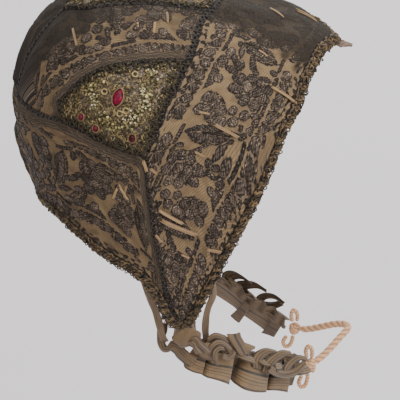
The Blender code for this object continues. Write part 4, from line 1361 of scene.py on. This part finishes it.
def tuck(finish):
    """The narrow fold over the meeting of the nape bands."""
    line = spaced(smooth_curve(TUCK), 110)
    v = np.linspace(-1, 1, 25)
    run = np.linspace(0, 1, len(line))[:, None]
    taper = smoothstep(0.0, 0.12, run) * smoothstep(1.0, 0.92, run)
    height = 1.0 + (0.9 + 1.75 * (1 - np.abs(v) ** 3)) * taper + 0.12 * np.sin(run * 38)
    across = (v * 4.8 * MM)[:, None] * [0.0, 1.0, 0.0]
    grid = cap_point(line)[:, None] + across + cap_normal(line)[:, None] * (height * MM)[..., None]
    along = run_over(line)[:, None] + TUCK_START
    over = GALLOON_WIDTH / 2 + v * 5.0
    figure, tone, hatch = woven(np.stack(np.broadcast_arrays(along, over), -1), 9)
    fields = {"figure": figure, "tone": tone, "hatch": hatch, "wear": 0.3, "darkening": 0.3, "hem": 9.3}
    cloth_piece("back_fold", finish, "back_tuck", 0.8 * MM, [(grid, along, over, fields)])


# Loose threads, lace and embroidery


def thread_finish(name, dark, light, roughness, metallic=0.0, sheen=0.0):
    shader = Shader(name, Roughness=roughness, Metallic=metallic, Sheen_Weight=sheen)
    fleck = shader.noise(shader.body(), 1500.0)
    share = shader.field("tone") + 0.7 * fleck - 0.35
    return shader.finished(shader.mix(share, dark, light), fleck, 0.06 * MM)


class Trim:
    """A strip of cap between two curves, from one side's end to the other's, on which threads are laid."""

    def __init__(self, inner, outer):
        self.inner, self.outer = both_sides(inner), both_sides(outer)
        self.along = run_over(self.outer)
        self.length = self.along[-1]

    def at(self, along, across, height):
        inner = read_line(self.inner, self.along, along)
        outer = read_line(self.outer, self.along, along)
        return lifted(inner + (outer - inner) * np.asarray(across)[..., None], np.asarray(height) * MM)


LACE_STEP = 0.68
# The lace's plaits: middle and swing across it, period and lift in millimetres
LACE_PLAITS = (
    (0.24, 0.20, 4.1, 0.25), (0.24, 0.20, 4.1, 0.25), (0.55, 0.22, 3.6, 0.3), (0.55, 0.22, 3.6, 0.3),
    (0.40, 0.36, 6.3, 0.45), (0.78, 0.13, 2.7, 0.25), (0.80, 0.12, 3.3, 0.1), (0.10, 0.08, 2.9, 0.2),
)
SEQUIN_SIDES = 7


def lace(name, trim, finish, node, seed):
    """Bobbin lace of tarnished wire: plaits over a ground, with uneven picots past the rim."""
    draw = np.random.default_rng(seed)
    heap = Heap()
    along = np.linspace(0.0, trim.length, int(trim.length / LACE_STEP))
    every, across = np.broadcast_arrays(along[::3, None], 0.02 + 0.84 * np.linspace(0, 1, 7))
    grid = trim.at(every, across, -0.55 + 0.25 * draw.normal(0, 1, every.shape))
    heap.add(*closed_strip(grid, 0.9 * MM), 0.1)
    rough = wobble(along[:, None], 9.0, seed + 1)
    light = np.clip(0.32 + 0.3 * wobble(along[:, None], 5.0, seed + 2), 0, 1)
    for k, (middle, swing, period, lift) in enumerate(LACE_PLAITS):
        turn = math.tau * along / period + k * math.pi + 0.9 * rough
        over = middle + swing * np.sin(turn) + 0.07 * rough
        line = trim.at(along, over, lift + 0.35 * np.cos(turn * (1 + k % 2)))
        radius = 0.33 + 0.1 * np.sin(math.tau * along / 1.1 + k)
        heap.tube(line, radius, 5, np.repeat(np.clip(light + 0.14 * (k % 4 - 1.5), 0, 1), 5))
    count = int(trim.length / 1.5)
    for i in range(count):
        start = (i + draw.uniform(0.1, 0.9)) * trim.length / count
        reach = 0.05 + 0.1 * abs(draw.normal()) * (1.8 if draw.random() < 0.12 else 1.0)
        wide = draw.uniform(0.5, 1.1)
        t = np.linspace(0, math.pi, 7)
        spot = np.clip(start + wide * np.cos(t) + 0.3 * draw.normal(), 0, trim.length)
        line = trim.at(spot, 0.88 + min(reach, 0.34) * np.sin(t), 0.1 + 0.4 * draw.normal() * np.sin(t))
        heap.tube(line, 0.3, 5, draw.uniform(-0.2, 0.6))
    for _ in range(int(trim.length * 1.5)):
        spot, place = draw.uniform(0.02, 0.98) * trim.length, draw.uniform(0.02, 0.95)
        t = np.linspace(-1, 1, 5)
        reach, lean = draw.uniform(0.4, 1.0), draw.uniform(-0.2, 0.2)
        height = 0.75 - 0.5 * t**2 + 0.25 * draw.normal()
        line = trim.at(np.clip(spot + reach * t, 0, trim.length), place + lean * t, height)
        heap.tube(line, draw.uniform(0.2, 0.36), 4, draw.choice([-0.3, 0.1, 0.45, 0.95]))
    heap.piece(name, finish, "metal_lace", [node])


def cap_axes(arcs):
    """A place on the cap, and unit vectors out of it, forward and to the side."""
    return cap_point(arcs), cap_normal(arcs), *(unit(slope) for slope in slopes(arcs))


def sequin(heap, arcs, height, size, draw, tone):
    """A small round of metal with a hole, dished and tilted as it was sewn."""
    centre, normal, forward, side = cap_axes(arcs)
    tilt = draw.normal(0, 0.33, 2)
    facing = unit(normal + forward * tilt[0] + side * tilt[1])
    a = unit(np.cross(facing, side))
    b = np.cross(facing, a)
    angle = np.linspace(0, math.tau, SEQUIN_SIDES, endpoint=False)[:, None]
    circle = (np.cos(angle) * a + np.sin(angle) * b) * size / 2
    profile = ((0.22, -0.12), (1.0, 0.08), (0.96, 0.0), (0.25, -0.2))
    rings = [centre + (normal * height + circle * share + facing * lift) * MM for share, lift in profile]
    index = np.arange(4 * SEQUIN_SIDES).reshape(4, SEQUIN_SIDES)
    heap.add(np.vstack(rings), bands(np.roll(index, -1, axis=0), index), tone)


# Inserts

WREATH = (
    (-20.5, 53.4), (-24.6, 56.2), (-25.8, 61.4), (-24.6, 65.3), (-22.5, 69.9), (-19.6, 73.6), (-15.2, 75.7),
    (-11.0, 75.3), (-7.1, 73.0), (-3.8, 70.2), (-1.1, 66.9), (-0.6, 62.6), (0.4, 59.0), (2.4, 55.6),
    (4.3, 52.6),
)
# Places where real sequins are given a near-white colour: painted glints on the metal.
GLINT_SPOTS = (
    (-23.5, 65.1), (-11.6, 73.0), (-8.4, 71.6), (-1.5, 61.5), (3.7, 53.2), (-24.5, 60.8), (-2.6, 67.6),
    (-6.6, 72.6),
)
RING_PURLS = ((-4.2, 53.7), (-13.6, 70.0), (-10.5, 69.1), (-19.0, 59.3))
TOP_WREATH = ((-26.0, 2.0), (-20.0, 7.5), (-10.0, 10.0), (2.0, 10.5), (13.0, 9.5), (18.0, 4.0), (18.5, 0.0))
TOP_RINGS = ((-6.0, 0.0), (6.0, 0.0))
BORDER_BITS = 620
STONE_SIDES = 24


def embroidery_finish():
    shader = Shader("Embroidery", Roughness=0.5)
    body = shader.body()
    cell = shader.cells(body, 900.0)
    fine = shader.noise(body, 1400.0, 3.0, 0.6)
    share = 0.6 * shader.field("tone") + 0.9 * fine - 0.35
    ground = shader.mix(share, (64, 51, 35), (170, 145, 106))
    ground = shader.mix(shader.span(cell, 0.3, 0.6), ground, (58, 46, 32))
    ground = shader.mix(0.85 * shader.field("darkening"), ground, (38, 31, 25))
    shader.put("Metallic", 0.5 * shader.span(cell, 0.5, 0.2))
    return shader.finished(ground, fine - 1.5 * cell, 0.2 * MM, 0.8)


def embroider(name, patch, lines, spots, rings, wires, widest, finishes, seed):
    """Coiled wire over an insert, a dark worked border, and a wreath of sequins along the lines."""
    draw = np.random.default_rng(seed)
    length = run_over(patch.at(np.linspace(0, 1, 40), np.full(40, 0.5)))[-1]

    def scattered(count, low, high):
        """Places on the insert, as many to each piece of cloth, from low to high in from its edge."""
        while count > 0:
            u, v = draw.uniform(0.015, 0.985, 2)
            width = run_over(patch.at(np.full(9, u), np.linspace(0, 1, 9)))[-1]
            if draw.uniform(0, 1) > width / widest:
                continue
            edge = min(u * length, (1 - u) * length, v * width, (1 - v) * width)
            if low <= edge <= high:
                count -= 1
                yield patch.at(np.array([u]), np.array([v]))[0]

    heap = Heap()
    for arcs in scattered(wires, 2.5, 99.0):
        bit(heap, arcs, draw, 2.0, 0.2, draw.uniform(-0.1, 0.75))
    for arcs in scattered(BORDER_BITS, 0.6, 4.2):
        bit(heap, arcs, draw, 2.2, 0.3, draw.uniform(-0.5, 0.05))
    for arcs in rings:
        centre, normal, forward, side = cap_axes(arcs)
        angle = np.linspace(0, math.tau * 0.96, 18)[:, None]
        line = centre + (normal + (forward * np.cos(angle) + side * np.sin(angle)) * 1.25) * MM
        heap.tube(line, 0.36, 7, 0.7)
    heap.piece(f"{name}_wire", finishes[0], "embroidery")

    heap = Heap()
    for line in lines:
        curve = smooth_curve(line)
        reach = run_over(curve)
        for place in read_line(curve, reach, np.arange(0.0, reach[-1], 0.24)):
            shift, size = draw.normal(0, 1.45, 2), draw.uniform(0.8, 1.5)
            # A few sequins get the finish's lightest colour: painted glints.
            tone = draw.uniform(-0.1, 0.6) if draw.random() < 0.9 else 1.2
            sequin(heap, place + shift, 0.9 + draw.uniform(0, 0.9), size, draw, tone)
    heap.piece(f"{name}_sequins", finishes[1], "embroidery")

    # Near-white sequins at the glint spots: painted glints.
    heap = Heap()
    for place in np.repeat(spots, 9, axis=0):
        shift, height = draw.normal(0, 1.3, 2), 1.5 + draw.uniform(0, 0.7)
        sequin(heap, place + shift, height, draw.uniform(0.6, 1.05), draw, draw.uniform(0.0, 1.0))
    heap.piece(f"{name}_bright_sequins", finishes[2], "embroidery")


def bit(heap, arcs, draw, length, radius, tone):
    """One short piece of coiled wire, sewn down with a slight arch."""
    centre, normal, forward, side = cap_axes(arcs)
    angle = draw.uniform(0, math.tau)
    direction = unit(forward * math.cos(angle) + side * math.sin(angle))
    bow = np.cross(normal, direction) * draw.normal() * 0.3
    t = np.linspace(-0.5, 0.5, 4)[:, None]
    reach = length * draw.uniform(0.6, 1.2)
    arch = 0.25 - t**2
    height = 0.45 + 1.2 * arch + draw.uniform(0, 0.3)
    line = centre + ((direction * t + bow * arch) * reach + normal * height) * MM
    heap.tube(line, radius * draw.uniform(0.8, 1.2), 4, tone)


def stone_lines(forward, sideways, length, width, lean, side):
    """A stone's middle, its outward direction, and its outline's reach along and across, in millimetres."""
    arcs = np.array([forward, sideways * side])
    normal = cap_normal(arcs)
    level = unit(np.array([0.0, 0.0, 1.0]) - normal * normal[2])
    square = np.cross(normal, level)
    turn = math.radians(lean) * side
    along = level * math.cos(turn) + square * math.sin(turn)
    across = square * math.cos(turn) - level * math.sin(turn)
    angle = np.linspace(0, math.tau, STONE_SIDES, endpoint=False)[:, None]
    pointed = 1.4 if length > 1.5 * width else 1.0
    wide = np.sign(np.sin(angle)) * np.abs(np.sin(angle)) ** pointed
    return cap_point(arcs), normal, along * np.cos(angle) * length / 2, across * wide * width / 2


def stones(word, side, finish, setting):
    """The facetted stones of one side, and the thread and wire round each."""
    heap, rims = Heap(), Heap()
    for row in (CENTRE_STONE, *SMALL_STONES):
        middle, normal, along, across = stone_lines(*row, side)
        levels = ((1.0, -0.6), (1.0, 0.9), (0.8, 1.7), (0.48, 2.1))
        rings = [middle + ((along + across) * share + normal * height) * MM for share, height in levels]
        heap.add(np.vstack(rings), ring_faces(4, STONE_SIDES), 1.0 if row == CENTRE_STONE else 0.35)
        for grow, height, radius, tone in ((0.3, 0.85, 0.3, 0.8), (0.75, 0.5, 0.4, 0.3)):
            line = sum(x * (1 + grow / np.linalg.norm(x, axis=1).max()) for x in (along, across))
            line = middle + (line + normal * height) * MM
            rims.tube(np.vstack([line, line[:2]]), radius, 6, tone)
    names = [f"centre_stone_{word}"] + [f"small_stone_{word}_{number}" for number in (1, 2, 3)]
    heap.piece(f"red_stones_{word}", finish, "red_stone", names, smooth=False)
    rims.piece(f"stone_settings_{word}", setting, "embroidery")


def stone_finish():
    shader = Shader("RedStone", Roughness=0.3, Specular_IOR_Level=0.2)
    tone = shader.field("tone")
    depth = shader.span(shader.noise(shader.body(), 520.0), 0.35, 0.65)
    deep, glow = shader.mix(tone, (30, 4, 10), (54, 1, 15)), shader.mix(tone, (74, 8, 28), (118, 5, 46))
    shader.put("Base Color", shader.mix(depth, deep, glow))
    return shader.material


def seam_stitches(heap, curve, step, reach, radius, seed, tones=(0.0, 0.35), slant=0.7):
    """Stitches to and fro over a seam, each a thread that dips at both ends, in millimetres."""
    draw = np.random.default_rng(seed)
    along = run_over(curve)
    at, turn = 0.5, 1.0
    while at < along[-1] - 0.5:
        place, ahead = read_line(curve, along, np.array([at, at + 0.3]))
        centre, normal = cap_point(place), cap_normal(place)
        forward = unit(cap_point(ahead) - centre)
        t = np.linspace(-1, 1, 6)[:, None]
        half = reach / 2 * draw.uniform(0.7, 1.25)
        direction = unit(np.cross(normal, forward) + forward * slant * turn * draw.uniform(0.5, 1.4))
        line = centre + (direction * t * half + normal * (0.35 - 0.75 * t**2 + draw.uniform(0, 0.25))) * MM
        heap.tube(line, radius * draw.uniform(0.8, 1.2), 4, draw.uniform(*tones))
        at += step * draw.uniform(0.6, 1.4)
        turn = -turn


def welt(heap, curve, radius, depth, tone, seed):
    """A thin line of rolled cloth or cord down in a seam."""
    along = run_over(curve)
    at = np.linspace(0.3, along[-1] - 0.3, int(along[-1] / 0.8))
    rough = wobble(at[:, None], 3.0, seed)
    line = lifted(read_line(curve, along, at), (depth + 0.12 * rough) * MM)
    heap.tube(line, radius * (1 + 0.15 * rough), 6, tone)


def sewing(finish):
    """The dark stitches and welts in every seam."""
    heap = Heap()
    seam = smooth_curve(BAND_SEAM)
    stretches = (
        (seam[0], SIDE_INSERT_TOP[-1], 1.5, 4.2, 0.42, 11, (0.0, 0.2), 1.0),
        (seam[0], SIDE_INSERT_TOP[-1], 2.4, 3.2, 0.34, 13, (0.0, 0.3), 0.4),
        (SIDE_INSERT_TOP[-1], INSERT_CORNER, 1.8, 2.6, 0.3, 15, (0.0, 0.5), 0.7),
        (INSERT_CORNER, seam[-1], 2.1, 2.2, 0.26, 17, (0.0, 0.35), 0.7),
    )
    seams = ((SIDE_INSERT_TOP, 2.0), (SIDE_INSERT_LOW, 2.0), (NAPE_SEAM, 2.3), (TOP_INSERT_EDGE, 1.7))
    for number, (_, side) in enumerate(SIDES):
        for start, end, step, reach, radius, seed, tones, slant in stretches:
            curve = one_side(part_of(seam, start, end), side)
            seam_stitches(heap, curve, step, reach, radius, seed + number, tones, slant)
        for rows, step in seams:
            curve = one_side(smooth_curve(rows), side)
            seam_stitches(heap, curve, step, 2.6, 0.28, 19 + number)
            welt(heap, curve, 0.42, -0.75, 0.05, 29 + number)
        welt(heap, one_side(seam, side), 0.42, -0.8, 0.05, 31 + number)
    centre = smooth_curve(CENTRE_BACK)
    seam_stitches(heap, centre, 1.3, 3.4, 0.36, 33, (0.0, 0.2))
    welt(heap, centre, 0.6, -0.5, 0.0, 35)
    heap.piece("dark_sewing", finish, "galloon")


# Flat broken strips of pale silk: from and to on the cap, width and rise in millimetres
STRAWS = (
    (32.2, 71.9, 47.6, 73.3, 1.2, 0.9), (5.3, 99.5, 23.6, 100.0, 1.5, 0.7),
    (6.8, 101.3, 34.2, 99.3, 1.9, 0.9), (49.8, 44.8, 62.5, 45.7, 1.3, 0.9),
    (-19.7, 93.0, -14.1, 96.9, 1.0, 0.7), (-14.1, 93.7, -16.6, 96.2, 0.8, 0.6),
    (37.6, 6.2, 42.8, 9.2, 1.0, 0.6), (47.2, 0.8, 56.2, 0.8, 0.9, 0.6), (0.0, 26.4, -0.2, 31.3, 0.8, 0.6),
    (6.9, 26.9, 5.8, 34.5, 1.0, 0.6), (11.4, 21.3, 11.5, 28.4, 0.8, 0.6),
    (40.6, 30.3, 44.4, 31.9, 0.7, 0.7), (-4.0, 90.8, -1.8, 93.0, 1.3, 0.9),
    (0.0, 92.3, 4.3, 93.3, 1.2, 0.8), (24.1, 68.4, 29.8, 67.9, 0.9, 0.6),
    (25.5, 86.5, 31.9, 85.6, 1.0, 0.6), (-29.8, 23.2, -28.4, 35.5, 1.0, 0.4),
    (41.5, 99.6, 52.8, 95.0, 1.3, 0.5), (23.9, 105.9, 31.1, 105.0, 0.9, 0.4),
    (3.6, 104.2, 8.9, 105.6, 1.1, 0.5), (-23.9, 95.1, -19.1, 93.3, 1.0, 0.5),
)


def straws(finish):
    """Flat broken strips of pale silk, each of several threads."""
    heap = Heap()
    draw = np.random.default_rng(83)
    for _, side in SIDES:
        for *ends, width, rise in STRAWS:
            ends = one_side(np.reshape(ends, (2, 2)), side)
            points, normals = lifted(ends, 0.3 * MM), cap_normal(ends)
            ahead = points[1] - points[0]
            sideways = unit(np.cross(unit(normals.sum(0)), ahead))
            for thread in np.linspace(-0.5, 0.5, 4):
                t = np.linspace(draw.uniform(0, 0.08), draw.uniform(0.9, 1.0), 8)[:, None]
                arch = 4 * t * (1 - t)
                normal = unit(normals[0] * (1 - t) + normals[1] * t)
                line = points[0] + ahead * t + normal * arch * (rise * 0.35 * MM + ahead @ ahead / (480 * MM))
                line = line + sideways * (thread * 0.8 + 0.05 * np.sin(t * 9 + thread * 7)) * width * MM
                radius = width * 0.17 * (0.5 + 0.5 * np.minimum(1, 3 * arch[:, 0]))
                heap.tube(line, radius, 5, draw.uniform(0.1, 1.0))
    heap.piece("broken_straws", finish, "tan_silk")


# Camera, light and floor


def stand(name, data, across, back, place):
    """A camera or lamp at a place, which looks against back, with its own right hand along across."""
    made = bpy.data.objects.new(name, data)
    bpy.context.scene.collection.objects.link(made)
    up = np.cross(back, across)
    rows = [[across[i], up[i], back[i], place[i]] for i in range(3)]
    made.matrix_world = Matrix(rows + [[0.0, 0.0, 0.0, 1.0]])
    return made


def camera_and_light():
    turn, height = math.radians(CAMERA_TURN), math.radians(CAMERA_HEIGHT)
    right = np.array([math.cos(turn), math.sin(turn), 0.0])
    back = np.array([math.sin(turn) * math.cos(height), -math.cos(turn) * math.cos(height), math.sin(height)])
    target = np.array(CAMERA_TARGET)
    data = bpy.data.cameras.new("Camera")
    data.lens = CAMERA_LENS
    data.sensor_width = CAMERA_SENSOR
    data.clip_start = 0.05
    data.clip_end = 20.0
    scene = bpy.context.scene
    scene.camera = stand("Camera", data, right, back, target + back * CAMERA_DISTANCE)

    scene.world = bpy.data.worlds.new("Studio")
    scene.world.use_nodes = True
    light = scene.world.node_tree.nodes["Background"].inputs
    light["Color"].default_value = (*colour((230, 226, 227)), 1.0)
    light["Strength"].default_value = 0.56
    for name, place, size, power in LAMPS:
        lamp = bpy.data.lights.new(name, "AREA")
        lamp.energy = power
        lamp.size = size
        away = unit(place - target)
        stand(name, lamp, unit(np.cross([0.0, 0.0, 1.0], away)), away, place)


def floor():
    mesh = bpy.data.meshes.new("Floor")
    mesh.from_pydata([(*corner, FLOOR_LEVEL) for corner in FLOOR_CORNERS], [], [(0, 1, 2, 3)])
    shader = Shader("Paper", Roughness=0.9)
    grain = shader.noise(shader.body(), 2.0)
    shader.put("Base Color", shader.mix(grain, (234, 229, 232), (238, 234, 236)))
    mesh.materials.append(shader.material)
    made = bpy.data.objects.new("Floor", mesh)
    bpy.context.scene.collection.objects.link(made)
    made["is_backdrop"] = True


def build():
    camera_and_light()
    floor()
    tie(cord_finish())
    narrow = ribbon_finish("EarRibbon", EAR_STRIPES)
    striped = ribbon_finish("StripedRibbon", RUFFLE_STRIPES)
    silk = silk_finish()
    for word, side in SIDES:
        ear_ribbon(f"rear_band_{word}", REAR_RIBBON, side, narrow, f"rear_ribbon_{word}")
        ear_ribbon(f"front_band_{word}", FRONT_RIBBON, side, narrow, f"front_ribbon_{word}")
        ruffle(word, side, striped)
        tab(word, side, silk)
    peak(silk)

    front_rim, nape_rim, front_inside, nape_inside = rim_parts(EDGING_WIDTH)
    wire = thread_finish("TarnishedLace", (22, 17, 12), (130, 106, 72), 0.5, 0.3)
    lace("front_lace", Trim(front_inside, front_rim), wire, "front_edging", 61)
    lace("nape_lace", Trim(nape_inside[::-1], nape_rim[::-1]), wire, "nape_edging", 71)

    galloon = galloon_finish()
    front = galloon_dress(FRONT_LINES, front_wear, 0.0, 3)
    crown = galloon_dress(CROWN_LINES, crown_wear, 0.28, 4, 4.4, "low")
    nape = galloon_dress(NAPE_LINES, nape_wear, 0.28, 6, 6.4)
    gusset = galloon_dress(NAPE_LINES, nape_wear, 0.6, 8)
    panel("front_galloon", front_patch(), galloon, ["front_band"], front)
    for word, side in SIDES:
        panel(f"crown_galloon_{word}", crown_patch(side), galloon, [f"crown_band_{word}"], crown)
        panel(f"nape_galloon_{word}", nape_patch(side), galloon, [f"nape_band_{word}"], nape)
        panel(f"ear_gusset_{word}", gusset_patch(side), galloon, [], gusset)

    ground = embroidery_finish()
    finishes = (
        thread_finish("CoiledWire", (52, 44, 27), (178, 156, 104), 0.42, 0.4),
        thread_finish("Sequins", (52, 47, 22), (202, 188, 130), 0.3, 0.55),
        # Near-white sequin colour: painted glints.
        thread_finish("GlintSequins", (138, 124, 84), (236, 226, 190), 0.3, 0.45),
    )
    for number, (word, side) in enumerate(SIDES):
        patch = side_patch(side)
        dress = insert_dress(90 + number)
        panel(f"side_embroidery_{word}", patch, ground, [f"side_insert_{word}"], dress)
        wreath, spots, rings = (one_side(rows, side) for rows in (WREATH, GLINT_SPOTS, RING_PURLS))
        embroider(f"side_{word}", patch, [wreath], spots, rings, 900, 46.0, finishes, 95 + number)
    patch, wreath = top_patch(), np.array(TOP_WREATH)
    panel("top_embroidery", patch, ground, ["top_insert"], insert_dress(92))
    embroider("top", patch, [wreath, mirrored(wreath)], wreath[1::2], TOP_RINGS, 1100, 52.0, finishes, 99)

    stone = stone_finish()
    for word, side in SIDES:
        stones(word, side, stone, wire)
    sewing(thread_finish("DarkThread", (16, 12, 9), (76, 62, 47), 0.75, 0.0, 0.1))
    straws(thread_finish("Straw", (110, 84, 52), (170, 139, 96), 0.6, 0.0, 0.1))
    tuck(galloon)


build()
[[list(corner) for corner in box] for box in (CAD_BOX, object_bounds())]
